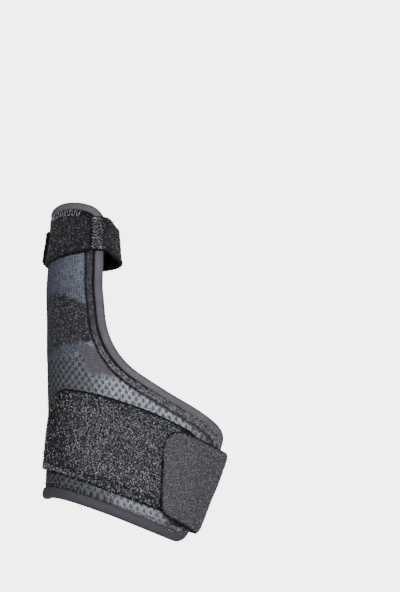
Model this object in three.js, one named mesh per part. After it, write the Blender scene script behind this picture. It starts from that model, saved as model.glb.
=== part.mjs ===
// A thumb spica splint in its worn shape: a knitted wrap that closes round the wrist with a
// wide hook-and-loop strap and round the thumb with a narrow one. Millimetres and degrees.
// +Z runs up the thumb, -Y faces the back of the hand, +X points to the little-finger side.
// The origin is the centre of the wrist opening's rim.
import * as THREE from 'three';

// The hollow that the hand fills
const RADIAL_HEIGHT = 125.4;      // wrist rim to thumb rim, along the straight thumb side
const WRIST_BREADTH = 60.5;
const WRIST_DEPTH = 42;
const PALM_BREADTH = 76;
const PALM_DEPTH = 43;
const THUMB_BREADTH = 23.5;
const THUMB_DEPTH = 23;
const WRIST_LEAN = 19.3;          // the forearm leans this far from the thumb's line
const THUMB_PITCH = 12;           // the thumb leans this far towards the palm
const THUMB_SET_BACK = 17.2;      // and its rim lies this far behind the wrist's centre

// Fabric
const BODY_WALL = 2.4;
const BINDING_WALL = 1.0;
const BINDING_FACE = 4.4;         // width of the binding on each face of the wrap
const BINDING_NOSE = 0.7;         // how far the folded edge rounds off
const PANEL_WALL = 1.3;
const PATCH_WALL = 1.1;
const WRIST_STRAP_WALL = 1.8;
const THUMB_STRAP_WALL = 1.3;
const LAYER_GAP = 0.35;           // between fabrics that lie on each other
const EDGE_GAP = 0.35;            // between the wrap and the fold of its binding
const THUMB_GAP = 0.5;            // between the thumb and its strap, where no wrap lies between

// Outlines
const WRAP_LOW_CORNER = 8;
const WRAP_TOP_CORNER = 5.5;
const PANEL_CORNER = 6;
const PATCH_CORNER = 4;
const WRIST_STRAP_WIDTH = 37.5;
const WRIST_STRAP_RIM = 5.5;      // its hook end lies this far above the rim's binding
const WRIST_STRAP_HIGH_CORNER = 10.5;
const WRIST_STRAP_LOW_CORNER = 4;
const THUMB_STRAP_WIDTH = 15;
const THUMB_STRAP_RIM = 5.2;      // its upper edge lies this far below the rim at its root
const THUMB_STRAP_CORNER = 4;
const SEWN_CORNER = 1.5;          // corners of the straps' sewn ends
const STRAP_DROP = 8;             // how far past the wrap's edge the thumb strap meets the thumb

// How finely curves are followed
const ARC_STEPS = 120;
const WALK_STEPS = 3;
const PROBE = 2e-3;
const CORNER_STEPS = 3;
const WRAP_COLUMNS = 36;

// Cross sections of the hand from the wrist rim up to the thumb rim. level is the share of
// RADIAL_HEIGHT, lean the share of WRIST_LEAN, pitch of THUMB_PITCH, back of THUMB_SET_BACK and
// inboard of THUMB_BREADTH. fullness squares an ellipse off.
const SECTIONS = [
  { level: 0.00, lean: 1.00, pitch: 0.00, inboard: 0.00, back: 0.00,
    breadth: WRIST_BREADTH, depth: WRIST_DEPTH, fullness: 0.05 },
  { level: 0.14, lean: 0.91, pitch: 0.20, inboard: 0.02, back: 0.09,
    breadth: WRIST_BREADTH * 1.10, depth: WRIST_DEPTH, fullness: 0.05 },
  { level: 0.30, lean: 0.77, pitch: 0.38, inboard: 0.03, back: 0.19,
    breadth: PALM_BREADTH * 0.96, depth: PALM_DEPTH, fullness: 0.06 },
  { level: 0.40, lean: 0.67, pitch: 0.46, inboard: 0.02, back: 0.27,
    breadth: PALM_BREADTH, depth: PALM_DEPTH * 0.99, fullness: 0.06 },
  { level: 0.52, lean: 0.51, pitch: 0.54, inboard: 0.01, back: 0.36,
    breadth: PALM_BREADTH * 0.87, depth: PALM_DEPTH * 0.90, fullness: 0.06 },
  { level: 0.62, lean: 0.35, pitch: 0.67, inboard: 0.01, back: 0.47,
    breadth: PALM_BREADTH * 0.66, depth: PALM_DEPTH * 0.80, fullness: 0.05 },
  { level: 0.72, lean: 0.19, pitch: 0.79, inboard: 0.00, back: 0.59,
    breadth: THUMB_BREADTH * 1.53, depth: THUMB_DEPTH * 1.33, fullness: 0.04 },
  { level: 0.82, lean: 0.08, pitch: 0.92, inboard: 0.04, back: 0.73,
    breadth: THUMB_BREADTH * 1.21, depth: THUMB_DEPTH * 1.20, fullness: 0.03 },
  { level: 0.90, lean: 0.03, pitch: 1.00, inboard: 0.11, back: 0.85,
    breadth: THUMB_BREADTH * 1.085, depth: THUMB_DEPTH * 1.09, fullness: 0.02 },
  { level: 1.00, lean: 0.00, pitch: 1.00, inboard: 0.14, back: 1.00,
    breadth: THUMB_BREADTH, depth: THUMB_DEPTH, fullness: 0.02 },
];

// How far the wrap reaches round each section: 0 is the thumb-side line, 1 the opposite side.
const WRAP_SIDES = [
  { level: 0.00, dorsal: 0.932, palmar: 0.800 },
  { level: 0.28, dorsal: 0.935, palmar: 0.800 },
  { level: 0.34, dorsal: 0.932, palmar: 0.790 },
  { level: 0.37, dorsal: 0.895, palmar: 0.755 },
  { level: 0.40, dorsal: 0.790, palmar: 0.690 },
  { level: 0.44, dorsal: 0.637, palmar: 0.590 },
  { level: 0.49, dorsal: 0.500, palmar: 0.490 },
  { level: 0.55, dorsal: 0.450, palmar: 0.447 },
  { level: 0.62, dorsal: 0.475, palmar: 0.475 },
  { level: 0.70, dorsal: 0.555, palmar: 0.555 },
  { level: 0.78, dorsal: 0.625, palmar: 0.625 },
  { level: 0.86, dorsal: 0.665, palmar: 0.665 },
  { level: 1.00, dorsal: 0.690, palmar: 0.690 },
];

// Levels of the wrap's rows between its low and top corners, closest where its edge turns.
const WRAP_ROWS = [
  0.11, 0.16, 0.21, 0.26, 0.30, 0.32, 0.335, 0.35, 0.362, 0.376, 0.39, 0.41, 0.43, 0.455, 0.485,
  0.52, 0.56, 0.60, 0.64, 0.68, 0.72, 0.765, 0.81, 0.86, 0.91,
];

// The thumb rim rises over the front and back of the thumb, in shares of THUMB_BREADTH.
const RIM_CROWN = [
  { reach: 0.00, rise: 0.00 },
  { reach: 0.25, rise: 0.08 },
  { reach: 0.45, rise: 0.06 },
  { reach: 0.69, rise: -0.07 },
];

// Levels of the wide loop panel's lower and upper edges along its reach.
const PANEL_EDGES = [
  { reach: -0.05, low: 0.098, high: 0.370 },
  { reach: 0.25, low: 0.090, high: 0.383 },
  { reach: 0.55, low: 0.080, high: 0.366 },
  { reach: 0.80, low: 0.074, high: 0.330 },
];
const PANEL_SLANT = 0.17;         // how much further round its thumb-side end lies at the bottom

// Level of the thumb patch's lower edge, which rises towards the strap's root.
const PATCH_EDGE = [
  { reach: -0.60, low: 0.835 },
  { reach: 0.00, low: 0.808 },
  { reach: 0.60, low: 0.842 },
];

// Where the straps run. A reach past 1 has gone round to the palm side, and 2 is the thumb side.
// drop is how far the strap has sunk since the first row, as a share of its width.
const WRIST_STRAP_SLANT = 0.09;
const WRIST_STRAP_RUN = [
  { reach: 0.61, drop: 0.00 },
  { reach: 0.75, drop: 0.04 },
  { reach: 0.90, drop: 0.10 },
  { reach: 1.15, drop: 0.12 },
  { reach: 1.45, drop: 0.08 },
];
const THUMB_STRAP_RUN = [
  { reach: 0.555, drop: 0.00 },
  { reach: 0.70, drop: 0.02 },
  { reach: 0.90, drop: 0.14 },
  { reach: 1.30, drop: 0.18 },
  { reach: 2.03, drop: 0.18 },
];

const OVER_BODY = BODY_WALL + LAYER_GAP;
const OVER_BINDING = BODY_WALL + EDGE_GAP + BINDING_WALL + LAYER_GAP;
const OVER_PANEL = Math.max(OVER_BODY + PANEL_WALL + LAYER_GAP, OVER_BINDING);
const OVER_PATCH = Math.max(OVER_BODY + PATCH_WALL + LAYER_GAP, OVER_BINDING);

// A smooth curve through a table's rows, carried on straight past its ends.
function along(table, key, column, at) {
  const last = table.length - 1;
  const slope = (k) => {
    const a = table[Math.max(k - 1, 0)];
    const b = table[Math.min(k + 1, last)];
    return (b[column] - a[column]) / (b[key] - a[key]);
  };
  if (at <= table[0][key]) return table[0][column] + slope(0) * (at - table[0][key]);
  if (at >= table[last][key]) return table[last][column] + slope(last) * (at - table[last][key]);
  const i = table.findIndex((row) => row[key] > at) - 1;
  const [a, b] = [table[i], table[i + 1]];
  const span = b[key] - a[key];
  const t = (at - a[key]) / span;
  const ease = t * t * (3 - 2 * t);
  return a[column] * (1 - ease) + b[column] * ease
    + slope(i) * span * t * (1 - t) ** 2 - slope(i + 1) * span * t * t * (1 - t);
}

// One section of the hand: its thumb-side point, the directions across and through the hand, and
// its half outline with the length along it.
const sectionsMade = new Map();
function section(level) {
  if (sectionsMade.has(level)) return sectionsMade.get(level);
  const of = (column) => along(SECTIONS, 'level', column, level);
  const rimLean = THREE.MathUtils.degToRad(WRIST_LEAN);
  const lean = rimLean * of('lean');
  const pitch = THREE.MathUtils.degToRad(THUMB_PITCH) * of('pitch');
  const [breadth, depth, fullness] = [of('breadth'), of('depth'), of('fullness')];
  const outline = [{ across: 0, deep: 0, length: 0 }];
  for (let k = 1; k <= ARC_STEPS; k++) {
    const turn = Math.PI * k / ARC_STEPS;
    const across = breadth / 2 * (1 - Math.cos(turn));
    const deep = depth / 2 * (Math.sin(turn) + fullness * Math.sin(3 * turn)) / (1 - fullness);
    const before = outline[k - 1];
    const length = before.length + Math.hypot(across - before.across, deep - before.deep);
    outline.push({ across, deep, length });
  }
  const made = {
    start: new THREE.Vector3(
      -WRIST_BREADTH / 2 * Math.cos(rimLean) + THUMB_BREADTH * of('inboard'),
      THUMB_SET_BACK * of('back'),
      WRIST_BREADTH / 2 * Math.sin(rimLean) + RADIAL_HEIGHT * level,
    ),
    across: new THREE.Vector3(Math.cos(lean), 0, -Math.sin(lean)),
    through: new THREE.Vector3(
      -Math.sin(lean) * Math.sin(pitch),
      Math.cos(pitch),
      -Math.cos(lean) * Math.sin(pitch),
    ),
    outline,
    half: outline[ARC_STEPS].length,
  };
  sectionsMade.set(level, made);
  return made;
}

// The step of a section's half outline at a reach from 0 to 1, as a fraction of all its steps.
function turnOf(level, reach) {
  const { outline, half } = section(level);
  const length = Math.min(reach, 1) * half;
  let k = 1;
  while (k < ARC_STEPS && outline[k].length < length) k++;
  return (k - 1 + (length - outline[k - 1].length) / (outline[k].length - outline[k - 1].length)) / ARC_STEPS;
}

// A point of the hand's surface. reach runs from 0 on the thumb side to 1 on the far side by way
// of the back of the hand, on to 2 by way of the palm, and below 0 into the palm.
function surface(reach, level) {
  const { start, across, through, outline } = section(level);
  const turned = reach - 2 * Math.round(reach / 2);
  const step = turnOf(level, Math.abs(turned)) * ARC_STEPS;
  const k = Math.min(Math.floor(step), ARC_STEPS - 1);
  const [a, b] = [outline[k], outline[k + 1]];
  const side = turned < 0 ? 1 : -1;
  return start.clone()
    .addScaledVector(across, THREE.MathUtils.lerp(a.across, b.across, step - k))
    .addScaledVector(through, side * THREE.MathUtils.lerp(a.deep, b.deep, step - k));
}

// Reaches from one end to the other, closest where the section bends most.
function spread(from, to, level, count) {
  const { outline, half } = section(level);
  const turned = (reach) => {
    const whole = 2 * Math.round(reach / 2);
    return whole + Math.sign(reach - whole) * turnOf(level, Math.abs(reach - whole));
  };
  const [first, last] = [turned(from), turned(to)];
  return Array.from({ length: count + 1 }, (_, j) => {
    const turn = first + (last - first) * j / count;
    const whole = 2 * Math.round(turn / 2);
    const step = Math.abs(turn - whole) * ARC_STEPS;
    const k = Math.min(Math.floor(step), ARC_STEPS - 1);
    const length = THREE.MathUtils.lerp(outline[k].length, outline[k + 1].length, step - k);
    return whole + Math.sign(turn - whole) * length / half;
  });
}

// The surface's two directions per unit of reach and level, and its outward normal.
function tangents(reach, level) {
  const round = surface(reach + PROBE, level).sub(surface(reach - PROBE, level)).divideScalar(2 * PROBE);
  const up = surface(reach, level + PROBE).sub(surface(reach, level - PROBE)).divideScalar(2 * PROBE);
  return { round, up, out: round.clone().cross(up).normalize() };
}

// The point that lies lift above the hand.
function lifted({ reach, level }, lift) {
  return surface(reach, level).addScaledVector(tangents(reach, level).out, lift);
}

// The place reached by going distance along the surface in direction.
function walk(place, direction, distance) {
  let { reach, level } = place;
  for (let k = 0; k < WALK_STEPS; k++) {
    const { round, up } = tangents(reach, level);
    const [rr, ru, uu] = [round.dot(round), round.dot(up), up.dot(up)];
    const [dr, du] = [round.dot(direction), up.dot(direction)];
    const scale = distance / WALK_STEPS / (rr * uu - ru * ru);
    reach += scale * (uu * dr - ru * du);
    level += scale * (rr * du - ru * dr);
  }
  return { reach, level };
}

// The level that lies a distance above another one, measured up the surface.
function levelOver(reach, level, distance) {
  return walk({ reach, level }, tangents(reach, level).up.normalize(), distance).level;
}

// A loop of places moved in by a distance. The loop runs anticlockwise as seen from outside.
function inset(loop, distance) {
  return loop.map((place, k) => {
    const { out } = tangents(place.reach, place.level);
    const before = loop[(k + loop.length - 1) % loop.length];
    const after = loop[(k + 1) % loop.length];
    const forward = surface(after.reach, after.level).sub(surface(before.reach, before.level));
    return walk(place, out.clone().cross(forward).normalize(), distance);
  });
}

function geometryFrom(points, faces) {
  const geometry = new THREE.BufferGeometry().setFromPoints(points);
  geometry.setIndex(faces);
  geometry.computeVertexNormals();
  return geometry;
}

// Two triangles between four corners, split along the shorter diagonal.
function addQuad(faces, points, a, b, c, d) {
  if (points[a].distanceTo(points[c]) < points[b].distanceTo(points[d])) {
    faces.push(a, b, c, a, c, d);
  } else {
    faces.push(a, b, d, b, c, d);
  }
}

// Indices of a grid's border, anticlockwise from its first corner.
function borderOf(rows, columns) {
  const border = [];
  for (let j = 0; j < columns - 1; j++) border.push(j);
  for (let i = 0; i < rows - 1; i++) border.push(i * columns + columns - 1);
  for (let j = columns - 1; j > 0; j--) border.push((rows - 1) * columns + j);
  for (let i = rows - 1; i > 0; i--) border.push(i * columns);
  return border;
}

// A sheet of fabric on the hand. grid[row][column] holds its places, rows from low to high and
// columns with rising reach, and under gives the lift of its inner face at a place.
function sheet(grid, under, wall) {
  const [rows, columns] = [grid.length, grid[0].length];
  const places = grid.flat();
  const points = [
    ...places.map((place) => lifted(place, under(place) + wall)),
    ...places.map((place) => lifted(place, under(place))),
  ];
  const inner = rows * columns;
  const faces = [];
  for (let i = 0; i < rows - 1; i++) {
    for (let j = 0; j < columns - 1; j++) {
      const [a, b] = [i * columns + j, (i + 1) * columns + j];
      addQuad(faces, points, a, a + 1, b + 1, b);
      addQuad(faces, points, inner + a, inner + b, inner + b + 1, inner + a + 1);
    }
  }
  const border = borderOf(rows, columns);
  border.forEach((a, k) => {
    const b = border[(k + 1) % border.length];
    addQuad(faces, points, a, inner + a, inner + b, b);
  });
  return geometryFrom(points, faces);
}

// How far a round corner has drawn back at a distance from its end.
function drawnBack(distance, radius) {
  if (distance >= radius) return 0;
  return radius - Math.sqrt(radius * radius - (radius - Math.max(distance, 0)) ** 2);
}

// Distances from an end at which a round corner gets its rows.
function cornerRows(radius) {
  return Array.from({ length: CORNER_STEPS + 1 }, (_, k) => (
    radius * (1 - Math.cos(Math.PI / 2 * k / CORNER_STEPS))
  ));
}

// How far round the wrap's side edges lie at a level.
function wrapSide(side, level) {
  return along(WRAP_SIDES, 'level', side, level);
}

// How high the thumb rim stands over its level, as a level.
function crown(reach) {
  return along(RIM_CROWN, 'reach', 'rise', Math.abs(reach)) * THUMB_BREADTH / RADIAL_HEIGHT;
}

// Places of the wrap's whole outline, in rows from the wrist rim to the thumb rim.
function wrapGrid() {
  const low = cornerRows(WRAP_LOW_CORNER).map((distance) => distance / RADIAL_HEIGHT);
  const top = cornerRows(WRAP_TOP_CORNER).map((distance) => 1 - distance / RADIAL_HEIGHT).reverse();
  return [...low, ...WRAP_ROWS, ...top].map((level) => {
    const back = drawnBack(level * RADIAL_HEIGHT, WRAP_LOW_CORNER)
      + drawnBack((1 - level) * RADIAL_HEIGHT, WRAP_TOP_CORNER);
    const dorsal = wrapSide('dorsal', level) - back / section(level).half;
    const palmar = wrapSide('palmar', level) - back / section(level).half;
    const crowned = THREE.MathUtils.smoothstep(level, WRAP_ROWS.at(-2), 1);
    return spread(-palmar, dorsal, level, WRAP_COLUMNS).map((reach) => (
      { reach, level: level + crowned * crown(reach) }
    ));
  });
}

// The wrap: knitted fabric whose border lies inside the fold of its binding. The places within
// follow the border's move, blended from all four sides.
function wrapGeometry(outline) {
  const [lastRow, lastColumn] = [outline.length - 1, outline[0].length - 1];
  const places = outline.flat();
  const border = borderOf(outline.length, outline[0].length);
  inset(border.map((k) => places[k]), BINDING_WALL + EDGE_GAP).forEach((place, n) => {
    places[border[n]] = place;
  });
  const { lerp } = THREE.MathUtils;
  const moved = (i, j, key) => {
    const shift = (row, column) => places[row * (lastColumn + 1) + column][key] - outline[row][column][key];
    const [up, round] = [i / lastRow, j / lastColumn];
    const sides = lerp(shift(i, 0), shift(i, lastColumn), round);
    const rims = lerp(shift(0, j), shift(lastRow, j), up);
    const corners = lerp(
      lerp(shift(0, 0), shift(0, lastColumn), round),
      lerp(shift(lastRow, 0), shift(lastRow, lastColumn), round),
      up,
    );
    return outline[i][j][key] + sides + rims - corners;
  };
  const grid = outline.map((row, i) => row.map((_, j) => (
    { reach: moved(i, j, 'reach'), level: moved(i, j, 'level') }
  )));
  return sheet(grid, () => 0, BODY_WALL);
}

// The binding: one folded tape round the wrap's whole border, open towards the fabric.
function bindingGeometry(outline) {
  const places = outline.flat();
  const loop = borderOf(outline.length, outline[0].length).map((k) => places[k]);
  const [inner, outer] = [-EDGE_GAP, BODY_WALL + EDGE_GAP];
  const middle = (BINDING_WALL + BINDING_FACE) / 2;
  const profile = [
    { in: BINDING_FACE, lift: outer },
    { in: BINDING_FACE, lift: outer + BINDING_WALL },
    { in: BINDING_NOSE, lift: outer + BINDING_WALL },
    { in: 0, lift: outer },
    { in: 0, lift: inner },
    { in: BINDING_NOSE, lift: inner - BINDING_WALL },
    { in: BINDING_FACE, lift: inner - BINDING_WALL },
    { in: BINDING_FACE, lift: inner },
    { in: middle, lift: inner },
    { in: BINDING_WALL, lift: inner },
    { in: BINDING_WALL, lift: outer },
    { in: middle, lift: outer },
  ];
  const points = profile.flatMap((corner) => (
    inset(loop, corner.in).map((place) => lifted(place, corner.lift))
  ));
  const faces = [];
  for (let i = 0; i < profile.length; i++) {
    const [a, b] = [i * loop.length, ((i + 1) % profile.length) * loop.length];
    for (let k = 0; k < loop.length; k++) {
      const next = (k + 1) % loop.length;
      addQuad(faces, points, a + k, b + k, b + next, a + next);
    }
  }
  return geometryFrom(points, faces);
}

// Places of a strip with round corners. from and to give its ends at a share of its height, low
// and high its edges' levels at a reach, and corners the radii at its four corners.
function stripGrid({ rows, columns, from, to, low, high, corners }) {
  const middle = (from(0.5) + to(0.5)) / 2;
  const height = (high(middle) - low(middle)) * RADIAL_HEIGHT;
  const { half } = section((low(middle) + high(middle)) / 2);
  const lowest = cornerRows(Math.max(corners.fromLow, corners.toLow)).map((d) => d / height);
  const highest = cornerRows(Math.max(corners.fromHigh, corners.toHigh)).map((d) => 1 - d / height);
  const shares = [...lowest];
  for (let k = 1; k < rows; k++) {
    shares.push(THREE.MathUtils.lerp(lowest.at(-1), highest.at(-1), k / rows));
  }
  shares.push(...highest.reverse());
  return shares.map((share) => {
    const back = (lowCorner, highCorner) => (
      (drawnBack(share * height, lowCorner) + drawnBack((1 - share) * height, highCorner)) / half
    );
    const first = from(share) + back(corners.fromLow, corners.fromHigh);
    const last = to(share) - back(corners.toLow, corners.toHigh);
    const level = THREE.MathUtils.lerp(low(middle), high(middle), share);
    return spread(first, last, level, columns).map((reach) => (
      { reach, level: THREE.MathUtils.lerp(low(reach), high(reach), share) }
    ));
  });
}

// The wide loop panel on the back of the wrist.
function panelGeometry() {
  const grid = stripGrid({
    rows: 5,
    columns: 16,
    from: (share) => PANEL_EDGES[0].reach + PANEL_SLANT * share,
    to: () => PANEL_EDGES.at(-1).reach,
    low: (reach) => along(PANEL_EDGES, 'reach', 'low', reach),
    high: (reach) => along(PANEL_EDGES, 'reach', 'high', reach),
    corners: { fromLow: PANEL_CORNER / 2, fromHigh: PANEL_CORNER, toLow: PANEL_CORNER, toHigh: PANEL_CORNER },
  });
  return sheet(grid, () => OVER_BODY, PANEL_WALL);
}

// The loop patch that wraps the thumb, within the binding on three sides.
function patchGeometry() {
  const margin = BINDING_FACE + LAYER_GAP;
  const low = (reach) => along(PATCH_EDGE, 'reach', 'low', reach);
  const high = (reach) => 1 - margin / RADIAL_HEIGHT + crown(reach);
  const end = (side, share) => {
    const level = THREE.MathUtils.lerp(low(wrapSide(side, 1)), 1, share);
    return wrapSide(side, level) - margin / section(level).half;
  };
  const grid = stripGrid({
    rows: 3,
    columns: 18,
    from: (share) => -end('palmar', share),
    to: (share) => end('dorsal', share),
    low,
    high,
    corners: { fromLow: PATCH_CORNER, fromHigh: PATCH_CORNER, toLow: PATCH_CORNER, toHigh: PATCH_CORNER },
  });
  return sheet(grid, () => OVER_BODY, PATCH_WALL);
}

// The wrist strap: sewn to the palm side of the wrap, round the far side, and its hook end
// pressed on the loop panel. It comes down from the binding to the wrap at its sewn end.
function wristStrapGeometry() {
  const [hook, root] = [WRIST_STRAP_RUN[0].reach, WRIST_STRAP_RUN.at(-1).reach];
  const low = (reach) => {
    const drop = along(WRIST_STRAP_RUN, 'reach', 'drop', reach) * WRIST_STRAP_WIDTH;
    return levelOver(reach, 0, BINDING_FACE + WRIST_STRAP_RIM - drop);
  };
  const grid = stripGrid({
    rows: 5,
    columns: 24,
    from: (share) => hook + WRIST_STRAP_SLANT * (1 - share),
    to: () => root,
    low,
    high: (reach) => levelOver(reach, low(reach), WRIST_STRAP_WIDTH),
    corners: {
      fromLow: WRIST_STRAP_LOW_CORNER,
      fromHigh: WRIST_STRAP_HIGH_CORNER,
      toLow: SEWN_CORNER,
      toHigh: SEWN_CORNER,
    },
  });
  const under = ({ reach, level }) => {
    const seam = 2 - wrapSide('palmar', level) + (BINDING_FACE + LAYER_GAP) / section(level).half;
    const down = THREE.MathUtils.smoothstep(reach, seam, (seam + root) / 2);
    return THREE.MathUtils.lerp(OVER_PANEL, OVER_BODY, down);
  };
  return sheet(grid, under, WRIST_STRAP_WALL);
}

// The thumb strap: sewn to the wrap's dorsal edge, round behind the thumb, and its hook end
// pressed on the patch at the thumb side. Between the wrap's edges it lies on the thumb.
function thumbStrapGeometry() {
  const [root, hook] = [THUMB_STRAP_RUN[0].reach, THUMB_STRAP_RUN.at(-1).reach];
  const high = (reach) => {
    const drop = along(THUMB_STRAP_RUN, 'reach', 'drop', reach) * THUMB_STRAP_WIDTH;
    return 1 - (THUMB_STRAP_RIM + drop) / RADIAL_HEIGHT;
  };
  const grid = stripGrid({
    rows: 2,
    columns: 28,
    from: () => root,
    to: () => hook,
    low: (reach) => high(reach) - THUMB_STRAP_WIDTH / RADIAL_HEIGHT,
    high,
    corners: {
      fromLow: SEWN_CORNER,
      fromHigh: SEWN_CORNER,
      toLow: THUMB_STRAP_CORNER,
      toHigh: THUMB_STRAP_CORNER,
    },
  });
  const under = ({ reach, level }) => {
    const past = Math.min(reach - wrapSide('dorsal', level), 2 - wrapSide('palmar', level) - reach);
    const drop = THREE.MathUtils.clamp(past * section(level).half / STRAP_DROP, 0, 1);
    return THUMB_GAP + (OVER_PATCH - THUMB_GAP) * (1 - drop) ** 2;
  };
  return sheet(grid, under, THUMB_STRAP_WALL);
}

function piece(name, geometry, color, roughness) {
  const mesh = new THREE.Mesh(geometry, new THREE.MeshStandardMaterial({ color, roughness, metalness: 0 }));
  mesh.name = name;
  return mesh;
}

const outline = wrapGrid();
const splint = new THREE.Group();
splint.name = 'thumb_spica_splint';
splint.add(
  piece('body_wrap', wrapGeometry(outline), 0x5a6068, 0.9),
  piece('edge_binding', bindingGeometry(outline), 0x5c5c64, 0.75),
  piece('wrist_loop_panel', panelGeometry(), 0x2e2d30, 0.95),
  piece('thumb_loop_patch', patchGeometry(), 0x2a292b, 0.95),
  piece('wrist_strap', wristStrapGeometry(), 0x4c494d, 0.95),
  piece('thumb_strap', thumbStrapGeometry(), 0x2c2a2c, 0.95),
);

export default splint;
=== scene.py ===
import bpy
import numpy as np
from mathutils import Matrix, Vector


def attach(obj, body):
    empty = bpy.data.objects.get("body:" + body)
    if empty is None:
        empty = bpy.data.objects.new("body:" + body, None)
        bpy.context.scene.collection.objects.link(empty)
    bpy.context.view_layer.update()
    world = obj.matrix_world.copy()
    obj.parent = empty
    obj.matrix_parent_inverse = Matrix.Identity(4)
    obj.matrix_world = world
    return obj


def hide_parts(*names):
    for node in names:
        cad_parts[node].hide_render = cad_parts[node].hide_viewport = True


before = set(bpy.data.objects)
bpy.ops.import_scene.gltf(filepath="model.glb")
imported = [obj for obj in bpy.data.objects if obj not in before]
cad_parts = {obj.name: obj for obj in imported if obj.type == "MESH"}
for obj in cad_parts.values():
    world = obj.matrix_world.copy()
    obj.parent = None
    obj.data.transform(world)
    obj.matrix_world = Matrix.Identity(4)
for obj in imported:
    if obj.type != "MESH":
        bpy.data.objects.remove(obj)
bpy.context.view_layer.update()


# The wrap is one piece of jacquard knit, laminated to a thin pad and cut to fold round the wrist and
# the thumb. The knitting changes from a light net with round holes to dense charcoal without a seam.
# It keeps its worn shape, so a point is placed by its reach round the form and its level up it.
MM = 0.001
RADIAL_HEIGHT = 125.4             # up the thumb side, from level 0 at the wrist to level 1
WRIST_BREADTH = 60.5
# The form's section at each level: how it is turned in degrees, where it starts and how broad and
# deep it is in millimetres, and how much fuller it is than an oval.
SECTIONS = {
    "level":    [0.00, 0.14, 0.30, 0.40, 0.52, 0.62, 0.72, 0.82, 0.90, 1.00],
    "lean":     [19.3, 17.6, 14.9, 12.9, 9.84, 6.76, 3.67, 1.54, 0.58, 0.00],
    "pitch":    [0.00, 2.40, 4.56, 5.52, 6.48, 8.04, 9.48, 11.0, 12.0, 12.0],
    "inboard":  [-1.00, 0.20, 0.71, 0.47, 0.24, 0.24, 0.00, 0.94, 2.59, 3.29],
    "back":     [0.00, 1.55, 3.27, 4.64, 6.19, 8.08, 10.1, 12.6, 14.6, 17.2],
    "breadth":  [60.5, 66.0, 73.0, 76.0, 66.1, 50.2, 36.0, 28.4, 25.5, 23.5],
    "depth":    [42.0, 42.0, 43.0, 42.6, 38.7, 34.4, 30.6, 27.6, 25.1, 23.0],
    "fullness": [0.05, 0.05, 0.06, 0.06, 0.06, 0.05, 0.04, 0.03, 0.02, 0.02],
}
# How far round the form the wrap reaches at each level, on its dorsal and its palm side.
WRAP_SIDES = {
    "level":  [0, 0.28, 0.34, 0.37, 0.40, 0.44, 0.49, 0.55, 0.62, 0.70, 0.78, 0.86, 1],
    "dorsal": [0.932, 0.935, 0.932, 0.895, 0.79, 0.637, 0.50, 0.45, 0.475, 0.555, 0.625, 0.665, 0.69],
    "palmar": [0.80, 0.80, 0.79, 0.755, 0.69, 0.59, 0.485, 0.437, 0.462, 0.543, 0.618, 0.663, 0.69],
}
# How far the thumb's rim and the hem at the wrist stand above their level.
RIM_CROWN = {"reach": [0, 0.25, 0.45, 0.69], "rise": [0, 1.88, 1.41, -1.64]}
HEM_RISE = {"reach": [0, 0.20, 0.45, 0.70, 0.93], "rise": [-0.9, 1.2, 1.4, 0.5, -0.4]}
LOW_CORNER, TOP_CORNER = 8, 5.5
CROWN_FROM, HEM_TO = 0.86, 0.15   # the levels between which neither rim's rise is felt
BODY_WALL = 2.4


def along(table, key, column, at):
    """A smooth curve through a table's column, carried on straight past its ends."""
    x, y = np.array(table[key], float), np.array(table[column], float)
    slope = np.empty_like(y)
    slope[1:-1] = (y[2:] - y[:-2]) / (x[2:] - x[:-2])
    slope[0] = (y[1] - y[0]) / (x[1] - x[0])
    slope[-1] = (y[-1] - y[-2]) / (x[-1] - x[-2])
    at = np.asarray(at, float)
    i = np.clip(np.searchsorted(x, at, side="right") - 1, 0, len(x) - 2)
    span = x[i + 1] - x[i]
    t = np.clip((at - x[i]) / span, 0, 1)
    ease = t * t * (3 - 2 * t)
    bend = span * t * (1 - t) * (slope[i] * (1 - t) - slope[i + 1] * t)
    past = np.minimum(at - x[0], 0) * slope[0] + np.maximum(at - x[-1], 0) * slope[-1]
    return y[i] * (1 - ease) + y[i + 1] * ease + bend + past


LEVELS = np.linspace(-0.1, 1.1, 121)
STEPS_ROUND = 160


def worn_form():
    """Points of the form at even reaches for every level, and half the way round each level."""
    turn = np.linspace(0, np.pi, 361)
    reach = np.arange(STEPS_ROUND) * 2 / STEPS_ROUND
    folded = np.where(reach > 1, 2 - reach, reach)
    rim_lean = np.radians(SECTIONS["lean"][0])
    rows, halves = [], []
    for level in LEVELS:
        at = {column: float(along(SECTIONS, "level", column, level)) for column in SECTIONS}
        lean, pitch = np.radians(at["lean"]), np.radians(at["pitch"])

        def outline(t):
            deep = np.sin(t) + at["fullness"] * np.sin(3 * t)
            return at["breadth"] / 2 * (1 - np.cos(t)), at["depth"] / 2 * deep / (1 - at["fullness"])

        across, deep = outline(turn)
        length = np.concatenate([[0], np.cumsum(np.hypot(np.diff(across), np.diff(deep)))])
        across, deep = outline(np.interp(folded * length[-1], length, turn))
        deep = np.where(reach > 1, deep, -deep)
        start = np.array([
            at["inboard"] - WRIST_BREADTH / 2 * np.cos(rim_lean),
            at["back"],
            WRIST_BREADTH / 2 * np.sin(rim_lean) + RADIAL_HEIGHT * level,
        ])
        sideways = np.array([np.cos(lean), 0, -np.sin(lean)])
        through = np.array([-np.sin(lean) * np.sin(pitch), np.cos(pitch), -np.cos(lean) * np.sin(pitch)])
        rows.append(start + across[:, None] * sideways + deep[:, None] * through)
        halves.append(length[-1])
    return np.array(rows), np.array(halves)


FORM, HALVES = worn_form()


def half(level):
    return np.interp(level, LEVELS, HALVES)


def cubic_weights(t):
    return (
        ((2 - t) * t - 1) * t / 2,
        ((3 * t - 5) * t * t + 2) / 2,
        ((4 - 3 * t) * t + 1) * t / 2,
        (t - 1) * t * t / 2,
    )


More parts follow.
